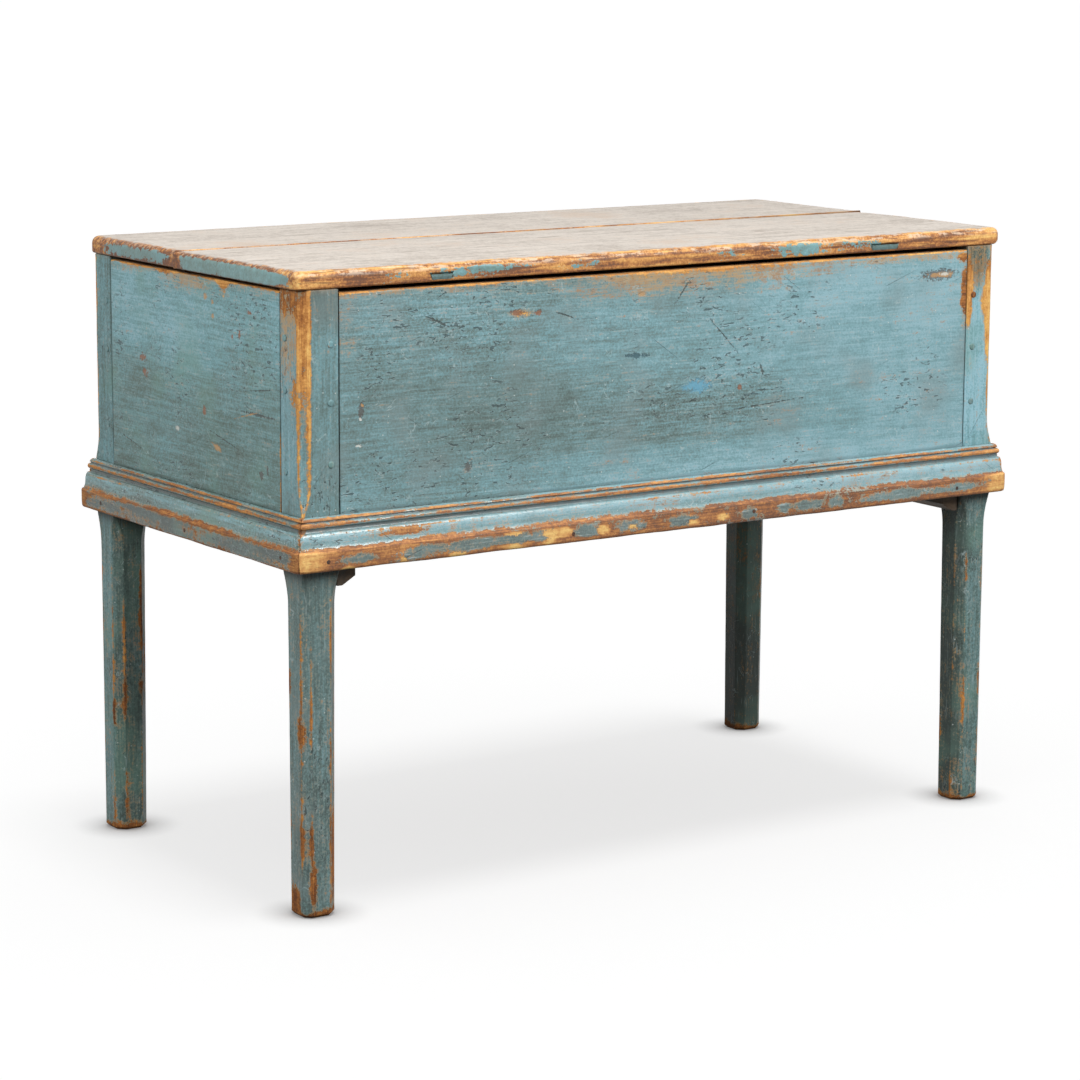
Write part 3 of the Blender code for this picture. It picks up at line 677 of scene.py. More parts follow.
def post_fields(p, sign_x, sign_y):
    """The fields that all posts share."""
    z = p[:, 2]
    u, v = FACE_X - sign_x * p[:, 0], FACE_Y - sign_y * p[:, 1]
    slow, quick = waves_along(z, (5, 28), (sign_x * 5 + sign_y * 2, sign_x * 3 + sign_y))
    in_leg = rise(z, BOX_BOTTOM + 0.01, -0.01)
    in_box = 1 - in_leg

    chamfer = POST_CHAMFER * rise(z, MOULDING_TOP, POST_STOP) ** 0.6
    line = band(np.minimum(np.hypot(u - chamfer, v), np.hypot(u, v - chamfer)), 0.0046)
    on_chamfer = band(u + v - chamfer, 0.002) * clip01(chamfer / 0.004)
    on_chamfer = on_chamfer * (0.42 + 0.2 * slow + 0.26 * rise(z, 0.56, 0.12))
    wear_box = np.maximum(on_chamfer, line * (0.98 + 0.25 * quick))
    wear_box = wear_box * (0.55 + 0.45 * rise(z, MOULDING_TOP, 0.10))
    if sign_y > 0 or sign_x > 0:
        wear_box = wear_box * (0.75 + 0.25 * quick)

    near, far = LEG_SETBACK, POST_SIDE - LEG_SETBACK - LEG_TAPER * (1 - clip01(z / BOX_BOTTOM))
    corners = octagon(near, far, LEG_OUTER_CHAMFER, LEG_CHAMFER)
    wear_leg = by_arris = z * 0
    for number, corner in enumerate((0, 1, 2, 3, 7, 6, 4, 5)):
        patchy = waves_along(z, (17,), (number * 2.7 + sign_x + sign_y * 3,))[0]
        rubbed = (0.46 if number < 4 else 0.26) + 0.55 * patchy
        from_arris = np.hypot(u - corners[corner][0], v - corners[corner][1])
        wear_leg = np.maximum(wear_leg, band(from_arris, 0.0030) * rubbed)
        by_arris = np.maximum(by_arris, band(from_arris, 0.0080))
    stop = rise(z, BOX_BOTTOM - 0.03, -0.05)
    patches = rise(waves(p * (1, 1, 0.4), 40, sign_x * 4 + sign_y), 0.22, 0.2) * stop * by_arris
    wear_leg = np.maximum(wear_leg * stop + 0.12 + 0.06 * slow, patches * 0.85)
    ragged_foot = np.maximum(0.015 + 0.014 * waves(p * (1, 1, 0), 36, sign_x * 2 + sign_y), 0.002)

    joint = np.minimum(np.abs(u - POST_SIDE), np.abs(v - POST_SIDE))
    inside = rise(np.minimum(u, v), PANEL_THICKNESS - 0.002, 0.002) * in_box
    inner_face = rise(np.maximum(u, v), far - 0.012, 0.006) * in_leg
    return Fields(
        wear=np.maximum(wear_box * in_box + wear_leg * in_leg, band(z, ragged_foot) * 1.1),
        raw=in_box * (0.30 + 0.30 * line) + in_leg * (0.26 + 0.1 * quick - 0.2 * patches),
        stain=in_leg * (0.18 + 0.10 * slow),
        # Painted shade: the inner faces of the legs are made darker
        tone=-in_leg * (0.20 + 0.7 * inner_face),
        pitted=-0.05,
        grime=np.maximum.reduce([
            # Painted shade on the legs just under the moulding
            band(z - BOX_BOTTOM, 0.035) * in_leg * 0.7,
            band(joint, 0.002) * in_box * 0.6,
            band(z - MOULDING_TOP, 0.004) * in_box * 0.6,
            band(z, 0.007) * 0.5,
        ]),
        bare=np.maximum(inside, rise(z, POST_TOP - 0.002, 0.002) * 0.6),
    )


def age_front_left(fields, p):
    """Brown at the top of the end face, greener below it, painted shadow of the lid at the top of the front
    face, and rubbed patches on the leg.
    """
    x, y, z = p.T
    end_face, front_face = band(x + FACE_X, 0.008), band(y + FACE_Y, 0.008)
    top_end = end_face * rise(z, 0.690, 0.03)
    lit_end = end_face * rise(z, MOULDING_TOP, 0.05) * rise(z, 0.72, -0.03)
    fields.lift("wear", top_end * 0.58)
    fields.lift("wear", spot(p, (-FACE_X, -0.246, 0.62), (0.02, 0.024, 0.05)) * 0.7)
    fields.add("stain", end_face * rise(z, 0.60, 0.06) * 0.72 + top_end * 0.4)
    fields.add("tone", 0.08 * rise(z, BOX_BOTTOM, 0.05) - 0.04 + 0.44 * lit_end)
    # Painted shadow of the lid's overhang: the top of the front face is darker
    fields.add("tone", -0.75 * front_face * rise(z, 0.685, 0.04))
    fields.add("raw", 0.12 * rise(z, MOULDING_TOP, 0.02) - 0.22 * top_end)
    fields.add("raw", 0.10 * rise(z, 0.705, -0.03) * rise(z, 0.60, 0.03))
    fields.add("pitted", 0.12 * rise(z, 0.30, -0.1))
    for place, radii, much in FRONT_LEFT_LEG_WEAR:
        rubbed = spot(p, place, radii) * much
        fields.lift("wear", rubbed)
        fields.add("raw", -0.10 * clip01(rubbed * 3))


def age_front_right(fields, p):
    """Long patches rubbed through beside the panel and at the corner, and a dirty top."""
    z = p[:, 2]
    for x, height, half_x, half_z, much in FRONT_RIGHT_WEAR:
        fields.lift("wear", spot(p, (x, -FACE_Y, height), (half_x, 0.02, half_z)) * much)
    dark = clip01(2 * spot(p, (0.493, -FACE_Y, 0.745), (0.024, 0.02, 0.070)))
    fields.lift("grime", dark * 0.30)
    on_leg = (z > FOOT_WEAR) & (z < BOX_BOTTOM)
    fields["wear"] = fields["wear"] * (1 - 0.45 * dark) * np.where(on_leg, 0.7, 1.0)
    fields.add("raw", 0.35 * rise(z, 0.715, -0.02) * rise(z, 0.55, 0.02))
    fields.add("stain", 0.55 * rise(z, 0.64, 0.06))
    fields.add("tone", 0.95 * rise(z, BOX_BOTTOM, 0.1) - 1.5 * dark)


def age_back_left(fields, p):
    fields.add("tone", 0.10 + 0.15 * rise(p[:, 2], BOX_BOTTOM, -0.1))


def age_back_right(fields, p):
    """A darker leg with less wear, and painted shade on the leg below the box."""
    z = p[:, 2]
    fields.add("tone", -0.25)
    # Painted shade on the leg below the box, held in the grime field
    fields.lift("grime", 0.42 * rise(z, BOX_BOTTOM, -0.02))
    fields["wear"] = fields["wear"] * np.where(z < FOOT_WEAR, 1.0, 0.5)


def make_posts():
    ageing = {
        ("front", "left"): age_front_left, ("front", "right"): age_front_right,
        ("back", "left"): age_back_left, ("back", "right"): age_back_right,
    }
    for (depth, side), age in ageing.items():
        sign_x, sign_y = SIDES[side][0], SIDES[depth][1]
        mesh, p = post_mesh(sign_x, sign_y)
        fields = post_fields(p, sign_x, sign_y)
        age(fields, p)
        name = f"post_{depth}_{side}"
        veil = (PAINT_GREY, 0.2) if age is age_front_left else (PAINT_GREEN, 0.0)
        material = old_paint(f"paint_{name}", "z", "y", (), *veil, gloss=0.2)
        piece(f"worn_{name}", mesh, material, "box", "blue_paint", name, **fields)


# Panels

PANEL_RIM, PANEL_STEP, PANEL_EASE = 0.0026, 0.004, 0.0009
# Depth from the face at which the paint stops
PAINT_STOP = 0.004
# How far a patch reaches into the panel
SHALLOW, DEEP = 0.02, 0.1
# Larger patches on the panels: field, place along and up the face, radii (along, in and up) and amount
PANEL_PATCHES = {
    "front": (
        ("pitted", -0.340, 0.700, (0.260, DEEP, 0.070), 0.16),
        ("pitted", 0.060, 0.570, (0.260, DEEP, 0.050), 0.20),
        ("stain", -0.470, 0.700, (0.050, DEEP, 0.070), 0.35),
        ("wear", 0.471, 0.680, (0.010, SHALLOW, 0.060), 1.0),
        ("wear", 0.468, 0.730, (0.016, SHALLOW, 0.014), 0.8),
        ("wear", -0.220, 0.700, (0.034, SHALLOW, 0.012), 0.62),
        ("tone", -0.280, 0.570, (0.300, DEEP, 0.100), -0.28),
        ("tone", 0.080, 0.560, (0.300, DEEP, 0.055), -0.40),
    ),
    "left": (
        ("tone", 0.020, 0.660, (0.160, DEEP, 0.060), 0.30),
        ("tone", 0.130, 0.600, (0.090, DEEP, 0.050), -0.35),
        ("tone", -0.040, 0.530, (0.140, DEEP, 0.050), -0.25),
        ("stain", 0.020, 0.735, (0.100, SHALLOW, 0.026), 1.1),
        ("wear", -0.078, 0.737, (0.021, SHALLOW, 0.021), 1.15),
        ("wear", 0.070, 0.738, (0.050, SHALLOW, 0.008), 0.9),
    ),
}
# Marks on the panels by kind: place along and up the face, half length, half width and slant
PANEL_MARKS = {
    "front": {
        "scratch": (
            (-0.338, 0.696, 0.025, 0.0016, 0.43), (0.078, 0.655, 0.034, 0.0014, 0.80),
            (-0.158, 0.693, 0.022, 0.0015, 0.32), (0.016, 0.712, 0.017, 0.0015, -0.90),
            (0.142, 0.562, 0.068, 0.0011, -0.06), (0.140, 0.607, 0.010, 0.0030, 1.20),
        ),
        "gouge": ((-0.053, 0.637, 0.018, 0.0042, 0.05),),
        "stain": (
            (-0.298, 0.520, 0.007, 0.0085, 0.30), (0.425, 0.709, 0.038, 0.0080, 0.0),
            (-0.446, 0.600, 0.004, 0.0100, 0.2),
        ),
        "blue": ((0.039, 0.593, 0.024, 0.0090, 0.0),),
        "rust": (
            (-0.229, 0.700, 0.011, 0.0045, 0.0), (-0.199, 0.698, 0.007, 0.0040, 0.0),
            (0.106, 0.587, 0.004, 0.0045, 0.0),
        ),
        "tan": (
            (-0.046, 0.712, 0.007, 0.0035, 0.0), (0.430, 0.709, 0.026, 0.0040, 0.0),
            (-0.444, 0.606, 0.0026, 0.0018, 0.5),
        ),
        "white": (
            (0.436, 0.710, 0.009, 0.0022, 0.0), (-0.447, 0.590, 0.003, 0.0016, 0.3),
            (-0.449, 0.559, 0.006, 0.0018, 0.0),
        ),
    },
    "left": {
        "scratch": (
            (-0.160, 0.588, 0.056, 0.0020, 0.0), (-0.166, 0.618, 0.044, 0.0010, -0.13),
            (0.168, 0.518, 0.034, 0.0012, 0.24), (-0.078, 0.548, 0.040, 0.0010, 0.20),
        ),
        "stain": ((-0.165, 0.517, 0.006, 0.0060, 0.0), (-0.179, 0.526, 0.004, 0.0070, 0.0)),
        "rust": (
            (0.122, 0.607, 0.008, 0.0060, 0.0), (0.128, 0.625, 0.010, 0.0050, 0.0),
            (-0.028, 0.578, 0.005, 0.0070, 0.0), (-0.140, 0.707, 0.006, 0.0030, 0.0),
            (-0.116, 0.678, 0.003, 0.0070, 0.0), (-0.099, 0.675, 0.003, 0.0040, 0.0),
        ),
        "tan": (
            (-0.134, 0.585, 0.030, 0.0012, -0.24), (-0.057, 0.537, 0.013, 0.0045, 0.3),
            (-0.034, 0.716, 0.006, 0.0040, 0.0), (-0.051, 0.711, 0.004, 0.0030, 0.0),
            (-0.051, 0.694, 0.004, 0.0030, 0.0),
        ),
        "white": ((0.040, 0.548, 0.008, 0.0035, 0.3),),
    },
    "back": {
        "scratch": (
            (-0.300, 0.660, 0.040, 0.0013, 0.35), (0.220, 0.600, 0.052, 0.0012, -0.18),
            (0.050, 0.700, 0.020, 0.0015, 0.90),
        ),
        "stain": ((-0.120, 0.560, 0.012, 0.0080, 0.20),),
        "rust": ((0.360, 0.690, 0.009, 0.0050, 0.0),),
        "tan": ((-0.410, 0.630, 0.010, 0.0040, 0.10), (0.300, 0.530, 0.014, 0.0035, 0.0)),
        "white": ((0.120, 0.640, 0.008, 0.0030, 0.30),),
    },
    "right": {
        "scratch": ((0.060, 0.620, 0.046, 0.0012, 0.25), (-0.120, 0.690, 0.030, 0.0013, -0.40)),
        "rust": ((0.140, 0.660, 0.008, 0.0050, 0.0),),
        "tan": ((-0.050, 0.550, 0.012, 0.0040, 0.20),),
        "white": ((0.020, 0.700, 0.007, 0.0030, 0.30),),
    },
}


def panel_mesh(side, half):
    """A board with a rounded upper edge and shallow dents in its face."""
    thick, rim, shoulder = PANEL_THICKNESS, PANEL_RIM, PANEL_TOP - PANEL_RIM
    turns = np.linspace(0, math.pi / 2, 5)
    outer = [BOX_BOTTOM, BOX_BOTTOM + 0.03, MOULDING_TOP - 0.006]
    outer += list(np.arange(MOULDING_TOP - 0.002, shoulder, PANEL_STEP))
    inward, height = np.array([
        *[(0.0, z) for z in outer],
        *[(rim - rim * math.cos(a), shoulder + rim * math.sin(a)) for a in turns],
        (thick / 2, PANEL_TOP),
        *[(thick - rim + rim * math.sin(a), shoulder + rim * math.cos(a)) for a in turns],
        *[(thick, z) for z in np.arange(shoulder - 0.01, BOX_BOTTOM, -0.012)],
        (thick, BOX_BOTTOM),
    ]).T
    between = np.arange(-half + PANEL_STEP, half - 0.003, PANEL_STEP)
    rings = []
    for s in (-half, -half + PANEL_EASE, *between, half - PANEL_EASE, half):
        eased = np.clip(inward, PANEL_EASE, thick - PANEL_EASE) if abs(s) == half else inward
        rings.append(side.place(s, -eased, height))
    mesh = skin(rings)
    p = each_vertex(mesh)
    _, outward, z = side.measures(p)
    outside = band(outward, 0.006) * rise(z, MOULDING_TOP, 0.02)
    top = rise(z, PANEL_TOP - 0.006, 0.006)
    dent = dents(p, 0.0003, 5, side.face) + dents(p, 0.00013, 42, side.face)
    p -= side.out * (dent * outside)[:, None]
    p[:, 2] -= top * dents(p * (1, 1, 0), 0.0003, 26, side.face)
    set_points(mesh, p)
    return mesh


def panel_fields(side, half, p):
    s, outward, z = side.measures(p)
    slow, quick = waves_along(s, (7, 38), (side.face, side.face))
    drop = PANEL_TOP - z
    fields = Fields(
        wear=band(drop, 0.0046 + 0.0018 * quick) * (0.80 + 0.3 * slow),
        raw=0.55 + 0.2 * slow,
        stain=band(drop, 0.014 + 0.006 * slow) * 0.8,
        tone=0.25 + 0.2 * slow,
        pitted=-0.04,
        grime=np.maximum(band(z - MOULDING_TOP, 0.004) * 0.85, band(half - np.abs(s), 0.0014) * 0.9),
        bare=rise(-outward, PAINT_STOP, 0.003),
    )
    if side.name == "front":
        foot = 0.525 + 0.003 * slow
        fields["pitted"] = -0.02 - 0.08 * rise(s, 0.10, 0.10)
        fields["raw"] = np.where((s > 0.44) & (drop > 0.006), 0.15, fields["raw"])
        fields["tone"] = 0.10 + 0.66 * rise(s, -0.20, 0.45) + 0.20 * rise(z, 0.62, 0.06) * clip01(-s / 0.1)
        fields.add("tone", 0.16 * rise(z, foot, -0.005) * rise(s, 0.30, -0.1))
        fields.add("tone", -0.25 * band(z - foot - 0.006, 0.009) * band(s - 0.08, 0.30))
        fields.lift("stain", band(drop, 0.042) * 1.25 * np.exp(-(((s - 0.04) / 0.22) ** 2)))
        fields.lift("stain", band(drop, 0.018) * 0.9 * rise(s, 0.2, 0.1))
        fields.lift("wear", band(drop, 0.016 + 0.006 * quick) * 0.72 * band(s - 0.06, 0.26))
    if side.name == "left":
        joint = band(half + s, 0.0035) * rise(z, 0.60, -0.05)
        fields["pitted"] = -0.02
        # Painted light and shade: the face is lighter near the top and darker lower down
        fields["tone"] = 0.08 + 0.50 * rise(z, 0.58, 0.1) - 0.25 * rise(z, 0.58, -0.08)
        fields.lift("wear", joint * (0.7 + 0.3 * waves(p, 25)))
    for field, along, up, radii, much in PANEL_PATCHES.get(side.name, ()):
        patch = spot(np.c_[s, outward, z], (along, 0.0, up), radii) * much
        if field in ("wear", "stain"):
            fields.lift(field, patch)
        else:
            fields.add(field, patch)
    fields["wear"] = np.where(-outward > PAINT_STOP, 0.0, fields["wear"])
    return fields


def make_panels():
    for name in SIDES:
        side = Side(name)
        half = side.half - POST_SIDE - GAP
        mesh = panel_mesh(side, half)
        marks = [
            (kind, tuple(side.place(along, 0.0, up)), *shape)
            for kind, rows in PANEL_MARKS[name].items()
            for along, up, *shape in rows
        ]
        veil = (PAINT_GREY, 0.22) if name == "front" else (PAINT_GREEN, 0.10)
        material = old_paint(f"paint_panel_{name}", side.grain, side.face_axis, marks, *veil)
        fields = panel_fields(side, half, each_vertex(mesh))
        piece(f"worn_panel_{name}", mesh, material, "box", "blue_paint", f"panel_{name}", **fields)


# Base moulding

TOP_FILLET, TOP_BEAD, LOW_BEAD = 0.0015, 0.0048, 0.0038
QUIRK, FASCIA, FOOT_ROUND = 0.0012, 0.0255, 0.005
HOLLOW = 0.0036
CORNER_ROUND, MITRE_GAP, MOULDING_STEP = 0.013, 0.0001, 0.003
FASCIA_EASE = 0.0003
MOULDING_HEIGHT = MOULDING_TOP - BOX_BOTTOM
LOW_BEAD_HEIGHT = MOULDING_HEIGHT - TOP_BEAD - QUIRK - LOW_BEAD
# Heights of the ogee's shoulder, of its crest, where a highlight is painted, and of the line below it,
# where shade is painted
OGEE_SHOULDER, OGEE_CREST, OGEE_FOOT = 0.0435, 0.040, 0.0290
# Rusted pin heads on the front ogee: x and height
OGEE_SPOTS = ((0.368, 0.454), (0.412, 0.458), (0.432, 0.455), (0.4825, 0.451))
# Paint left on the front fascia, as centre and half length, and its bright chips, as place and size
FRONT_FASCIA_PAINT = (
    (-0.460, 0.026), (-0.370, 0.042), (-0.296, 0.038), (-0.243, 0.020), (-0.197, 0.020), (-0.133, 0.018),
    (-0.070, 0.022), (0.004, 0.020), (0.111, 0.014), (0.165, 0.012), (0.204, 0.022), (0.250, 0.012),
    (0.343, 0.056), (0.450, 0.044),
)
FRONT_FASCIA_CHIPS = (
    (-0.474, 0.418, 0.014, 0.005), (-0.399, 0.422, 0.010, 0.006), (-0.323, 0.421, 0.014, 0.006),
    (-0.241, 0.421, 0.015, 0.006), (-0.242, 0.437, 0.018, 0.005), (-0.182, 0.433, 0.030, 0.008),
    (-0.192, 0.423, 0.010, 0.004), (-0.114, 0.430, 0.011, 0.008), (-0.070, 0.430, 0.011, 0.005),
    (0.023, 0.426, 0.011, 0.004), (0.069, 0.429, 0.011, 0.006),
)


def arc(centre, radii, start, end, steps=7):
    angles = np.radians(np.linspace(start, end, steps + 1))
    return [(centre[0] + radii[0] * math.cos(a), centre[1] + radii[1] * math.sin(a)) for a in angles]


def moulding_profile():
    """Reach and height of the moulding's outline: two beads, a hollow, an ogee and a plain fascia."""
    reach = MOULDING_REACH
    bead_foot = MOULDING_HEIGHT - TOP_BEAD
    bead_reach = TOP_FILLET + TOP_BEAD
    low_centre = (bead_reach - QUIRK, bead_foot - QUIRK - LOW_BEAD)
    ogee_in, ogee_out = low_centre[0] + LOW_BEAD - QUIRK, reach - QUIRK
    ogee_top = low_centre[1] - LOW_BEAD - HOLLOW
    middle = (ogee_top + FASCIA) / 2
    halves = (ogee_out - ogee_in) / 2, (ogee_top - FASCIA) / 2
    return np.array([
        (GAP, MOULDING_HEIGHT),
        *arc((TOP_FILLET, bead_foot), (TOP_BEAD,) * 2, 90, 0),
        (bead_reach - QUIRK * 1.6, bead_foot - QUIRK / 2),
        *arc(low_centre, (LOW_BEAD,) * 2, 70, -75),
        (low_centre[0] + HOLLOW * 0.4, ogee_top + HOLLOW * 0.8),
        (low_centre[0] + HOLLOW * 0.4, ogee_top + HOLLOW * 0.2),
        *arc((ogee_in, middle), halves, 95, 0, 9),
        *arc((ogee_out, middle), halves, 180, 270)[1:],
        (reach - FASCIA_EASE, FASCIA - QUIRK * 0.6),
        *[(reach, h) for h in np.linspace(FASCIA - QUIRK * 1.6, FOOT_ROUND, 7)[:-1]],
        *arc((reach - FOOT_ROUND, FOOT_ROUND), (FOOT_ROUND,) * 2, 0, -90),
        (reach / 2, 0.0),
        (GAP, 0.0),
    ])


def moulding_mesh(side):
    """A mitred length whose ends bend round to meet their neighbours, with dents."""
    reach, height = moulding_profile().T
    bend = np.minimum(CORNER_ROUND * (reach / MOULDING_REACH) ** 2 + 0.001, reach * 0.8)
    straight = side.half + reach - bend
    up = BOX_BOTTOM + height
    ends = [
        (straight + bend * math.cos(angle) - MITRE_GAP, reach - bend * (1 - math.sin(angle)))
        for angle in np.radians(np.linspace(45, 90, 6))[:-1]
    ]
    shares = np.linspace(-1, 1, int(side.half / MOULDING_STEP))
    rings = [side.place(-along, outward, up) for along, outward in ends]
    rings += [side.place(straight * share, reach, up) for share in shares]
    rings += [side.place(along, outward, up) for along, outward in ends[::-1]]
    mesh = skin(rings)
    p, normals = each_vertex(mesh), each_vertex(mesh, "normal")
    sharpen_ends(mesh)
    _, outward, z = side.measures(p)
    dent = dents(p, 0.00022, 9, side.face) + dents(p, 0.0002, 55, side.face)
    dent += band(z - BOX_BOTTOM, 0.012) * dents(p, 0.0006, 21, side.face + 3)
    set_points(mesh, p - normals * (dent * rise(outward, 0.001, 0.003))[:, None])
    return mesh


def age_front_moulding(fields, p, h, slow, quick, on_fascia):
    """Paint left in islands on the fascia, bright chips in the bare wood, and rusted pins."""
    x, y, _ = p.T
    front = y.min()
    fields["raw"] = np.where(h < FASCIA + 0.004, 0.22 + 0.1 * slow - 0.10 * clip01(x / 0.1), fields["raw"])
    rubbed = 0.74 + 0.1 * slow + 0.1 * quick
    for centre, half_length in FRONT_FASCIA_PAINT:
        island = spot(p, (centre, front, 0.4305), (half_length * 1.4, 0.03, 0.0100))
        rubbed = rubbed - 0.55 * clip01(island * 1.5)
    fields.lift("wear", on_fascia * rubbed)
    rough = 0.95 + 0.6 * waves(p, 80)
    for centre, up, half_x, half_z in FRONT_FASCIA_CHIPS:
        chip = clip01(spot(p, (centre, front, up), (half_x, 0.02, half_z)) * 2.0) * rough
        fields.lift("wear", chip)
        fields.lift("raw", clip01(chip * 1.6))
    patch = spot(p, (-0.395, front, 0.454), (0.065, 0.04, 0.009))
    fields.lift("wear", patch * 0.85)
    fields.add("raw", -0.12 * clip01(patch * 3))
    fields.add("tone", 0.3 * rise(x, 0.1, 0.2) - 0.28 * on_fascia)
    for centre, up in OGEE_SPOTS:
        fields.lift("grime", spot(p, (centre, -FACE_Y, up), (0.0032, 0.1, 0.0032)))


def moulding_fields(side, p):
    s, outward, z = side.measures(p)
    h = z - BOX_BOTTOM
    slow, quick = waves_along(s, (6, 34), (side.face, side.face))
    on_fascia = rise(h, FASCIA, -0.002) * clip01(outward / 0.01)
    top_bead = band(h - (MOULDING_HEIGHT - TOP_BEAD * 0.55), 0.0044) * rise(outward, 0.003, 0.002)
    fields = Fields(
        wear=np.maximum.reduce([
            top_bead * (0.68 + 0.30 * quick),
            band(h - (LOW_BEAD_HEIGHT + 0.0005), 0.0042) * (0.78 + 0.30 * quick),
            band(h - OGEE_SHOULDER, 0.0022) * (0.40 + 0.35 * slow),
            band(h - FASCIA, 0.0070 + 0.0030 * slow) * (0.78 + 0.2 * quick),
            band(h, 0.0075 + 0.003 * slow + 0.002 * quick) * 0.85,
        ]),
        raw=0.30 + 0.15 * slow + band(h - FASCIA, 0.003) * 0.1,
        stain=(0.25 if side.long else 0.0) + 0.2 * slow,
        # Painted highlight: the tone is raised along the ogee's crest
        tone=0.25 + 0.15 * slow + band(h - OGEE_CREST, 0.007) * 0.55 - on_fascia * 0.45,
        pitted=-0.06 if side.long else 0.06,
        grime=np.maximum.reduce([
            # Painted shade in the quirk under the top bead, in the hollow under the low bead and, fainter,
            # along the ogee's foot
            band(h - (MOULDING_HEIGHT - TOP_BEAD - QUIRK * 0.5), 0.0022) * 0.95,
            band(h - (LOW_BEAD_HEIGHT - LOW_BEAD - HOLLOW * 0.4), 0.0046) * 0.95,
            band(outward, 0.0020) * rise(h, 0.05, 0.01),
            band(h - OGEE_FOOT, 0.004) * 0.2,
        ]),
        bare=rise(h, 0.0008, -0.0008) * 0.9,
    )
    if side.name == "front":
        age_front_moulding(fields, p, h, slow, quick, on_fascia)
    else:
        fields.lift("wear", on_fascia * (0.20 + 0.14 * slow + 0.08 * quick))
        fields["raw"] = np.where(h < FASCIA + 0.006, fields["raw"] - 0.16, fields["raw"])
    if side.name == "left":
        fields.add("tone", -0.42 - 0.2 * on_fascia)
        fields.lift("grime", 0.13 + on_fascia * (0.20 + 0.15 * quick))
    bare_length, brightness = (0.055, 0.78) if side.long else (0.030, 0.36)
    from_corner = side.half + MOULDING_REACH - np.abs(s)
    corner = band(from_corner, bare_length + 0.012 * slow) * rise(h, 0.028, -0.004)
    mitre = band(side.half + outward - np.abs(s), 0.010)
    fields.lift("wear", clip01(corner * 1.6) * (1.0 + 0.35 * waves(p, 45, side.face)))
    fields.lift("raw", clip01(corner * 2.0) * (brightness - 0.5 * band(h, 0.006)))
    fields.lift("wear", mitre * (0.75 + 0.3 * waves(p, 60, side.face)))
    return fields


def make_mouldings():
    for name in SIDES:
        side = Side(name)
        mesh = moulding_mesh(side)
        veil = (PAINT_GREY, 0.2) if side.long else (PAINT_GREEN, 0.1)
        gloss, scuffed = (0.8, 0.75) if side.long else (0.5, 0.3)
        material = old_paint(
            f"paint_moulding_{name}", side.grain, side.face_axis, (), *veil,
            gloss=gloss, smooth=0.26, scuffed=scuffed, ragged=1.3,
        )
        fields = moulding_fields(side, each_vertex(mesh))
        piece(f"worn_moulding_{name}", mesh, material, "box", "blue_paint", f"moulding_{name}", **fields)


# Lid

LID_CORNER_ROUND = 0.013
LID_TOP_ROUND, LID_UNDER_ROUND, SEAM_ARRIS = 0.0095, 0.0030, 0.0009
# The right end of the lid is rounder underneath
LID_RIGHT_EXTRA_ROUND = 0.0055
# The boards' undersides lie just above the battens' faces, so that the slots cut cleanly
LID_UNDER_LIFT = 0.0001
LID_COLUMNS, LID_ROWS = 175, 40
# Paint left on the lid's front edge: centre, half length and amount
LID_EDGE_PAINT = (
    (-0.412, 0.040, 0.70), (-0.268, 0.085, 1.0), (-0.135, 0.045, 0.70),
    (0.085, 0.07, 0.66), (0.200, 0.09, 0.90), (0.290, 0.06, 0.82), (0.400, 0.05, 0.34),
)


def lid_outline(low, high, across):
    """The outer edge, the two ends and the seam of a board, as points and outward directions."""
    outer_y, seam_y = (low.y, high.y) if across > 0 else (high.y, low.y)
    corner = LID_CORNER_ROUND
    end_x = {-1: low.x, 1: high.x}

    def bent(sign, last_angle):
        """Half of a rounded corner, from its middle to the end at 0 or to the outer edge at 90 degrees."""
        centre = np.array((end_x[sign] - sign * corner, outer_y + across * corner))
        angles = np.radians(np.linspace(45, last_angle, 6))
        ways = np.c_[sign * np.cos(angles), -across * np.sin(angles)]
        return [(centre + corner * way, way) for way in ways]

    lengthwise = np.linspace(low.x + corner, high.x - corner, LID_COLUMNS)[1:-1]
    crosswise = np.linspace(outer_y + across * corner, seam_y, LID_ROWS)[1:]
    edge = [((x, outer_y), (0.0, -across)) for x in lengthwise]
    outer = bent(-1, 90) + edge + bent(1, 90)[::-1]
    ends = {sign: bent(sign, 0) + [((end_x[sign], y), (sign, 0.0)) for y in crosswise] for sign in (-1, 1)}
    seam = [((point[0], seam_y), (0.0, across)) for point, _ in outer]
    seam[0], seam[-1] = ends[-1][-1], ends[1][-1]
    return outer, ends, seam


def cap_grid(ring, columns, rows):
    """Points inside a ring, blended from its four sides, and the ring's point numbers on each side."""
    front = np.arange(columns)
    right = np.arange(columns - 1, columns - 1 + rows)
    back = np.arange(columns + rows - 2, 2 * columns + rows - 2)[::-1]
    left = -np.arange(rows) % len(ring)
    first, last = ring[front][:, None], ring[back][:, None]
    start, end = ring[left][None], ring[right][None]
    s = (first[..., :1] - first[0, 0, 0]) / (first[-1, 0, 0] - first[0, 0, 0])
    t = (start[..., 1:2] - start[0, 0, 1]) / (start[0, -1, 1] - start[0, 0, 1])
    between = (1 - t) * first + t * last
    sideways = (1 - s) * start + s * end
    corners = (1 - s) * ((1 - t) * first[0] + t * last[0]) + s * ((1 - t) * first[-1] + t * last[-1])
    return (between + sideways - corners)[1:-1, 1:-1], front, back, left, right


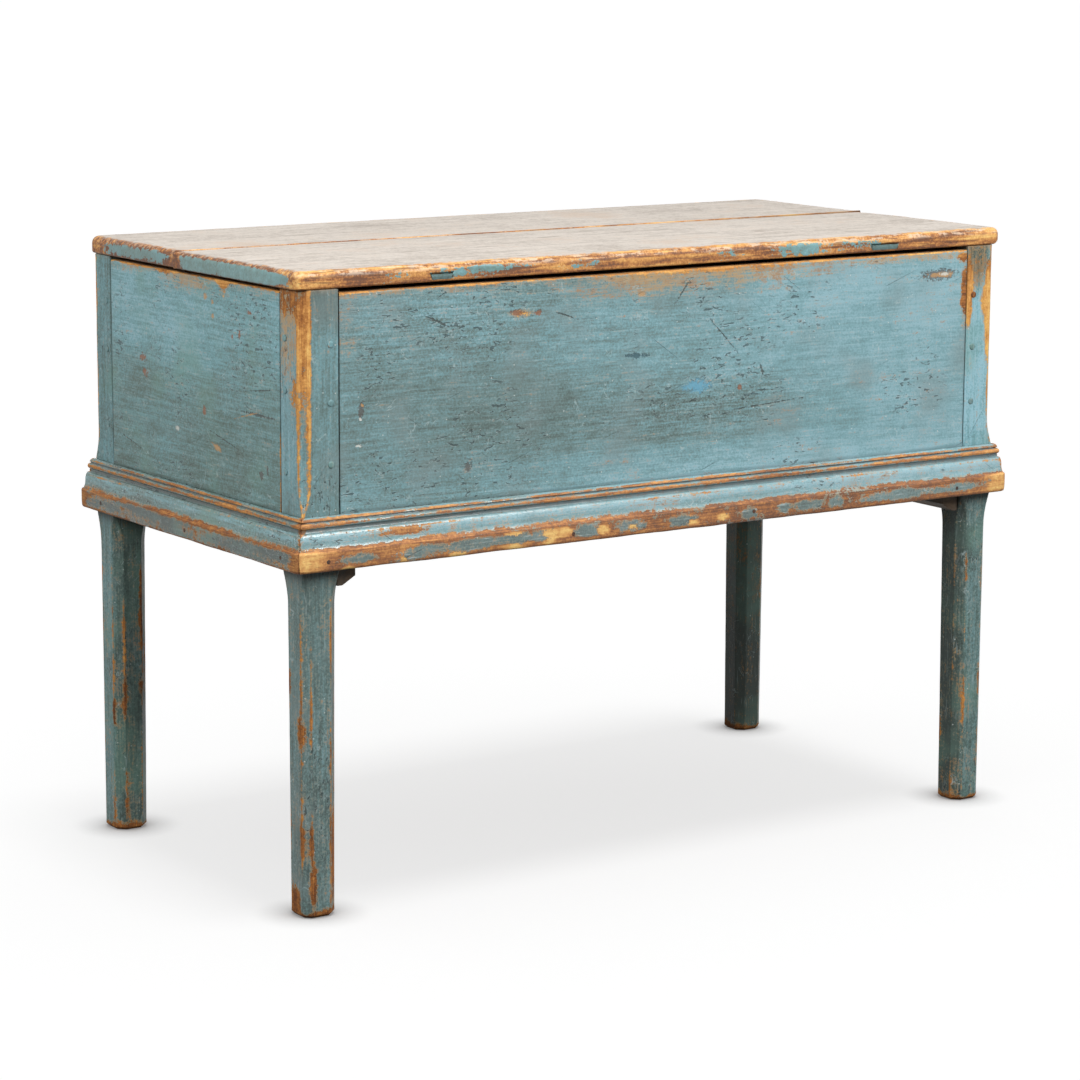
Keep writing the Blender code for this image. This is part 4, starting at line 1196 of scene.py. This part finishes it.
def lid_mesh(low, high, across):
    """A board with rounded outer edges and a square seam edge, in rings with a grid on either face."""
    outer, ends, seam = lid_outline(low, high, across)
    loop = outer + ends[1][1:] + seam[::-1][1:] + ends[-1][::-1][1:-1]
    places = np.array([point for point, _ in loop])
    normals = np.array([normal for _, normal in loop])
    grow = rise(np.abs(places[:, 1] - (high.y if across > 0 else low.y)), 0.001, 0.006)
    grow = np.where(normals[:, 1] * across > 0.5, 0.0, grow)
    edge = np.c_[places, places[:, 0] * 0]
    top_round = SEAM_ARRIS + (LID_TOP_ROUND - SEAM_ARRIS) * grow
    top_round = top_round * (1 + 0.22 * waves(edge, 24, low.y) * grow)
    under_round = SEAM_ARRIS + (LID_UNDER_ROUND - SEAM_ARRIS) * grow
    under_round = under_round + LID_RIGHT_EXTRA_ROUND * clip01(normals[:, 0]) * grow
    nick = grow * (dents(edge, 0.0006, 17, 5.0) + dents(edge, 0.0003, 70, 2.0))
    places = places - normals * nick[:, None]
    rings = []
    bends = np.linspace(0, math.pi / 2, 7)
    for a in bends:
        inset = top_round * (1 - math.sin(a))
        z = high.z - top_round * (1 - math.cos(a))
        rings.append(np.c_[places - normals * inset[:, None], z])
    for a in bends:
        inset = under_round * (1 - math.cos(a))
        z = low.z + LID_UNDER_LIFT + under_round * (1 - math.sin(a))
        rings.append(np.c_[places - normals * inset[:, None], z])
    columns, rows, count = len(outer), len(ends[1]), len(loop)
    points = np.concatenate(rings)
    faces = ring_faces(len(rings), count)
    for number in (0, len(rings) - 1):
        inner, front, back, left, right = cap_grid(rings[number], columns, rows)
        grid = np.empty((columns, rows), int)
        inside = np.arange((columns - 2) * (rows - 2)).reshape(columns - 2, rows - 2)
        grid[1:-1, 1:-1] = len(points) + inside
        grid[:, 0], grid[:, -1] = number * count + front, number * count + back
        grid[0], grid[-1] = number * count + left, number * count + right
        points = np.concatenate([points, inner.reshape(-1, 3)])
        quads = np.stack([grid[:-1, :-1], grid[1:, :-1], grid[1:, 1:], grid[:-1, 1:]], axis=-1)
        faces += quads.reshape(-1, 4).tolist()
    return closed_mesh(points, faces)


def cut_slots(mesh):
    """The board's mesh with the slots that the battens lie in cut out of it."""
    board = put("board", mesh)
    for side in ("left", "right"):
        cut = board.modifiers.new(f"slot_{side}", "BOOLEAN")
        cut.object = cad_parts[f"lid_batten_{side}"]
        cut.solver = "EXACT"
    graph = bpy.context.evaluated_depsgraph_get()
    slotted = bpy.data.meshes.new_from_object(board.evaluated_get(graph))
    bpy.data.objects.remove(board)
    slotted.shade_smooth()
    return slotted


def lid_paint(name, p, normals, low):
    """How much of the old paint is left on the edges of a lid board."""
    x, y, z = p.T
    middle = band(z - (low.z + 0.0095), 0.0105) ** 0.65
    on_right, on_back, _ = rise(normals, 0.3, 0.3).T
    on_left, on_front, _ = rise(-normals, 0.3, 0.3).T
    by_seam = rise(np.abs(y - SEAM_Y), 0.006, 0.02)
    if name == "back":
        return middle * (on_left * 0.95 * by_seam + on_back * 0.62 + on_right * 0.6)
    strips = x * 0
    for centre, half_length, much in LID_EDGE_PAINT:
        strips = np.maximum(strips, band(x - centre, half_length) ** 0.5 * much)
    left = 1.45 * by_seam * rise(y, -0.260, 0.02)
    return middle * (on_front * strips + on_left * left + on_right * 0.55 * by_seam)


def sag_top(name, mesh, p, low):
    """Lowers the top in soft hollows, and the front board more beside the seam."""
    x, y, z = p.T
    sag = dents(p * (0.35, 1, 1), 0.00025, 9, low.y) + dents(p, 0.0001, 60, low.y)
    if name == "front":
        sag = sag + rise(y, SEAM_Y - 0.10, 0.10) ** 2 * (0.0013 + 0.0007 * rise(x, 0.1, 0.4))
    p[:, 2] -= sag * rise(z, LID_TOP - 0.004, 0.004)
    set_points(mesh, p)


def lid_fields(name, p, normals, low, high):
    x, y, z = p.T
    level = p * (1, 1, 0)
    slow, quick = waves(level, 6, 4.0), waves(level, 30, 1.0)
    edge_x = np.minimum(x - low.x, high.x - x)
    outer_y = y - low.y if name == "front" else high.y - y
    inset = np.minimum(edge_x, outer_y)
    from_seam = np.abs(y - SEAM_Y)
    at_end = band(edge_x, 0.02)
    corner = band(np.hypot(edge_x - 0.01, outer_y - 0.01), 0.06)
    top_face = rise(normals[:, 2], 0.75, 0.2)
    hidden = (inset > 0.012) & (z < high.z - 0.008)
    under_face = np.maximum(rise(-normals[:, 2], 0.75, 0.2), hidden)
    fields = Fields(
        rim=np.maximum.reduce([
            band(inset - 0.005, 0.011 + 0.004 * slow + 0.003 * quick) * 0.75,
            band(inset, 0.05) * 0.24,
            (1 - top_face) * 1.2,
            band(from_seam, 0.0035) * 0.75,
        ]),
        painted=lid_paint(name, p, normals, low) - corner * 0.6,
        raw=0.46 + 0.14 * slow + 0.1 * quick + corner * 0.06 - band(z - low.z, 0.006) * 0.2,
        tone=0.15 - 0.10 * at_end,
        # Where the painted highlight and burnish of the top arris go
        pale=band(z - high.z + 0.0035, 0.0055) * (1 - 0.8 * at_end),
        grime=np.maximum(band(from_seam, 0.0013) * (0.25 + 0.5 * rise(x, 0.1, 0.4)), under_face * 0.05),
        bare=under_face,
    )
    fields.add("raw", 0.12 * clip01(x / 0.3) + 0.22 * corner * clip01(-normals[:, 1]))
    fields.add("raw", -0.35 * at_end * (1 - corner))
    if name == "front":
        fields.lift("grime", corner * clip01(-normals[:, 0]) * 0.35)
    else:
        fields.lift("grime", band(edge_x, 0.004) * (1 - top_face) * 0.3)
    return fields


def make_lid():
    for name, across in (("front", 1), ("back", -1)):
        low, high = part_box(f"lid_board_{name}")
        mesh = cut_slots(lid_mesh(low, high, across))
        p, normals = each_vertex(mesh), each_vertex(mesh, "normal")
        sag_top(name, mesh, p, low)
        fields = lid_fields(name, p, normals, low, high)
        material = scrubbed_lid(f"scrubbed_board_{name}")
        node = f"lid_board_{name}"
        piece(f"worn_{node}", mesh, material, "lid", "scrubbed_wood", node, **fields)


# Pegs and nails

# How deep the heads reach into the wood
HEAD_DEPTH = 0.002
NAIL_RADIUS, NAIL_PROUD, NAIL_SINK = 0.0028, 0.0004, 0.0005
# The front right peg above this height is rubbed bare
RUBBED_PEG_HEIGHT = 0.65
# Nails in the fascia: side, place along it and height
NAILS = (
    ("front", -0.501, 0.430), ("front", -0.157, 0.429), ("front", 0.118, 0.431), ("front", 0.452, 0.430),
    ("left", -0.238, 0.433), ("left", -0.006, 0.430), ("left", 0.215, 0.431),
    ("right", -0.220, 0.431), ("right", 0.010, 0.430), ("right", 0.225, 0.432),
    ("back", -0.480, 0.431), ("back", -0.150, 0.430), ("back", 0.170, 0.431), ("back", 0.490, 0.430),
)


def node_names(*starts):
    return [name for name in sorted(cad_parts) if name.startswith(starts)]


def dome(centre, out, radius, proud):
    """A slightly uneven round head that stands proud of a face."""
    centre, out, up = Vector(centre), Vector(out), Vector(UP)
    side = out.cross(up)
    shape = (
        (1.0, -HEAD_DEPTH), (1.0, 0.25 * proud), (0.9, 0.7 * proud), (0.6, 0.95 * proud), (0.3, proud)
    )
    rings = []
    for share, lift in shape:
        ring = []
        for angle in np.linspace(0, 2 * math.pi, 21)[:-1]:
            turn = Vector((math.cos(angle), math.sin(angle), 0))
            uneven = 0.93 + 0.07 * noise.noise(turn * 1.4 + centre * 300)
            across = side * turn.x + up * turn.y
            ring.append(centre + across * radius * share * uneven + out * lift)
        rings.append(ring)
    return skin(rings)


def make_pegs():
    material = old_paint("paint_pegs", "z", "y")
    for name in node_names("peg_"):
        side = Side(name.split("_")[1])
        low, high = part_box(name)
        middle = np.array((low + high) / 2)
        radius = (high.z - low.z) / 2
        proud = max(np.array((low, high)) @ side.out) - side.face
        centre = side.place(middle @ side.run, 0.0, middle[2])
        mesh = dome(centre, side.out, radius, proud)
        from_centre = np.linalg.norm(each_vertex(mesh) - centre, axis=1) / radius
        rubbed = name.startswith("peg_front_right") and middle[2] > RUBBED_PEG_HEIGHT
        wear, raw = (0.8, 0.12) if rubbed else (0.1, 0.4)
        piece(
            f"whittled_{name}", mesh, material, "box", "peg_wood", name,
            wear=wear, raw=raw, stain=0.1, tone=0.12, pitted=-0.2,
            # The dark ring at each head's rim is painted shade, with some soiling
            grime=rise(from_centre, 0.82, 0.18) * 0.75, bare=0.0,
        )


def make_nails(iron):
    for number, (name, along, up) in enumerate(NAILS):
        side = Side(name)
        centre = side.place(along, MOULDING_REACH - NAIL_SINK, up)
        mesh = dome(centre, side.out, NAIL_RADIUS, NAIL_PROUD)
        piece(f"nail_{name}_{number}", mesh, iron, "box", "dark_iron")


# Pieces that stay as they were packed

WELD_REACH = 0.00002
IRON_EASE, BOARD_EASE = 0.0002, 0.0006
# The cleats' darkening: soiling, and painted shade where the moulding shades their ends
CLEAT_DIRT_AND_SHADE = 0.78


def dress(names, material, ease=0.0):
    """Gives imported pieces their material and, where asked, eased edges."""
    for name in names:
        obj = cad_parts[name]
        obj.data.materials.clear()
        obj.data.materials.append(material)
        if ease:
            weld = obj.modifiers.new("weld", "WELD")
            weld.merge_threshold = WELD_REACH
            bevel = obj.modifiers.new("ease", "BEVEL")
            bevel.width = ease
            bevel.segments = 2
            bevel.limit_method = "ANGLE"


# Studio


def make_camera():
    level = math.cos(CAMERA_PITCH)
    forward = Vector((
        math.sin(CAMERA_YAW) * level, math.cos(CAMERA_YAW) * level, -math.sin(CAMERA_PITCH)
    ))
    level_right = Vector((math.cos(CAMERA_YAW), -math.sin(CAMERA_YAW), 0.0))
    level_up = level_right.cross(forward)
    right = math.cos(CAMERA_ROLL) * level_right + math.sin(CAMERA_ROLL) * level_up
    up = -math.sin(CAMERA_ROLL) * level_right + math.cos(CAMERA_ROLL) * level_up
    camera = put("camera", bpy.data.cameras.new("camera"))
    turn = Matrix((right, up, -forward)).transposed().to_4x4()
    camera.matrix_world = Matrix.Translation(CAMERA_PLACE) @ turn
    camera.data.sensor_width = SENSOR_WIDTH
    camera.data.lens = LENS
    camera.data.clip_end = CLIP_END
    bpy.context.scene.camera = camera


def make_world():
    """Even light from all round, brighter from above. Seen directly, it is plain white."""
    world = bpy.data.worlds.new("studio")
    bpy.context.scene.world = world
    nodes = Nodes(world)
    height = nodes.node("SeparateXYZ", "Z", {0: nodes.node("TexCoord", "Generated", {})})
    sky = {"Value": height, "To Min": HORIZON_LIGHT, "To Max": ZENITH_LIGHT}
    light = nodes.node("MapRange", "Result", sky)
    strength = nodes.node("Mix", "Result", {"Factor": nodes.seen_directly(), "A": light, "B": 1.0})
    background = nodes.tree.nodes["Background"]
    nodes.feed(background.inputs["Strength"], strength)
    nodes.feed(background.inputs["Color"], (1.0, 1.0, 1.0))


def make_floor():
    """A pale floor that shows white, keeps the shadow and throws little light back up."""
    mesh = bpy.data.meshes.new("floor")
    corners = [(x * FLOOR_REACH, y * FLOOR_REACH, 0) for x, y in ((-1, -1), (1, -1), (1, 1), (-1, 1))]
    mesh.from_pydata(corners, [], [(0, 1, 2, 3)])
    floor = put("floor", mesh)
    material = bpy.data.materials.new("floor")
    nodes = Nodes(material)
    nodes.tree.nodes.clear()
    seen = nodes.seen_directly()
    shading = {"Value": seen, "To Min": FLOOR_SHADE, "To Max": FLOOR_SHADE_SEEN}
    diffuse = nodes.node("BsdfDiffuse", 0, {"Color": nodes.node("MapRange", "Result", shading)})
    nearby = nodes.node("AmbientOcclusion", "AO", {"Distance": CONTACT_REACH})
    glowing = {"Value": nearby, "From Min": 0.5, "To Min": CONTACT_SHADE, "To Max": FLOOR_GLOW}
    glow = nodes.node("MapRange", "Result", glowing)
    emission = nodes.node("Emission", 0, {"Strength": seen * glow})
    both = nodes.node("AddShader", 0, {0: diffuse, 1: emission})
    output = nodes.tree.nodes.new("ShaderNodeOutputMaterial")
    nodes.feed(output.inputs["Surface"], both)
    mesh.materials.append(material)


def overhead_light():
    """Soft light almost straight down, even over the whole floor."""
    lamp = bpy.data.lights.new("overhead", "SUN")
    lamp.energy = OVERHEAD_STRENGTH
    lamp.angle = OVERHEAD_SPREAD
    obj = put("overhead", lamp)
    obj.location = (0.0, 0.0, 3.0)
    obj.rotation_euler = (math.radians(8), math.radians(4), 0.0)


def soft_box(name, place, target, size, power):
    """A lamp beside the object. The floor takes its shadow from the overhead light alone."""
    lamp = bpy.data.lights.new(name, "AREA")
    lamp.shape = "RECTANGLE"
    lamp.size, lamp.size_y = size
    lamp.energy = power
    obj = put(name, lamp)
    obj.location = place
    obj.visible_camera = False
    obj.rotation_euler = (Vector(target) - Vector(place)).to_track_quat("-Z", "Y").to_euler()
    left_out = bpy.data.collections.new(f"not_lit_by_{name}")
    left_out.objects.link(bpy.data.objects["floor"])
    left_out.collection_objects[0].light_linking.link_state = "EXCLUDE"
    obj.light_linking.receiver_collection = left_out


make_camera()
make_world()
make_floor()
overhead_light()
soft_box("front", (0.9, -3.2, 2.7), (0.0, 0.0, 0.5), (1.8, 1.4), 130.0)
soft_box("left", (-3.0, -1.0, 2.2), (0.0, 0.0, 0.5), (1.4, 1.4), 74.0)
soft_box("back", (2.4, 3.4, 0.42), (0.0, 0.0, 0.46), (2.4, 0.6), 60.0)
bpy.context.scene.view_settings.view_transform = "Standard"

make_posts()
make_panels()
make_mouldings()
make_lid()
make_pegs()
iron = old_iron("old_iron")
make_nails(iron)
dress(node_names("hinge_"), iron, IRON_EASE)
dress(node_names("bottom_board"), plain_pine("bottom_pine", "x"), BOARD_EASE)
dress(node_names("bottom_cleat"), plain_pine("cleat_pine", "y", CLEAT_DIRT_AND_SHADE, OLIVE_DIRT_AND_SHADE), BOARD_EASE)
dress(node_names("lid_batten"), batten_pine("batten_pine"))
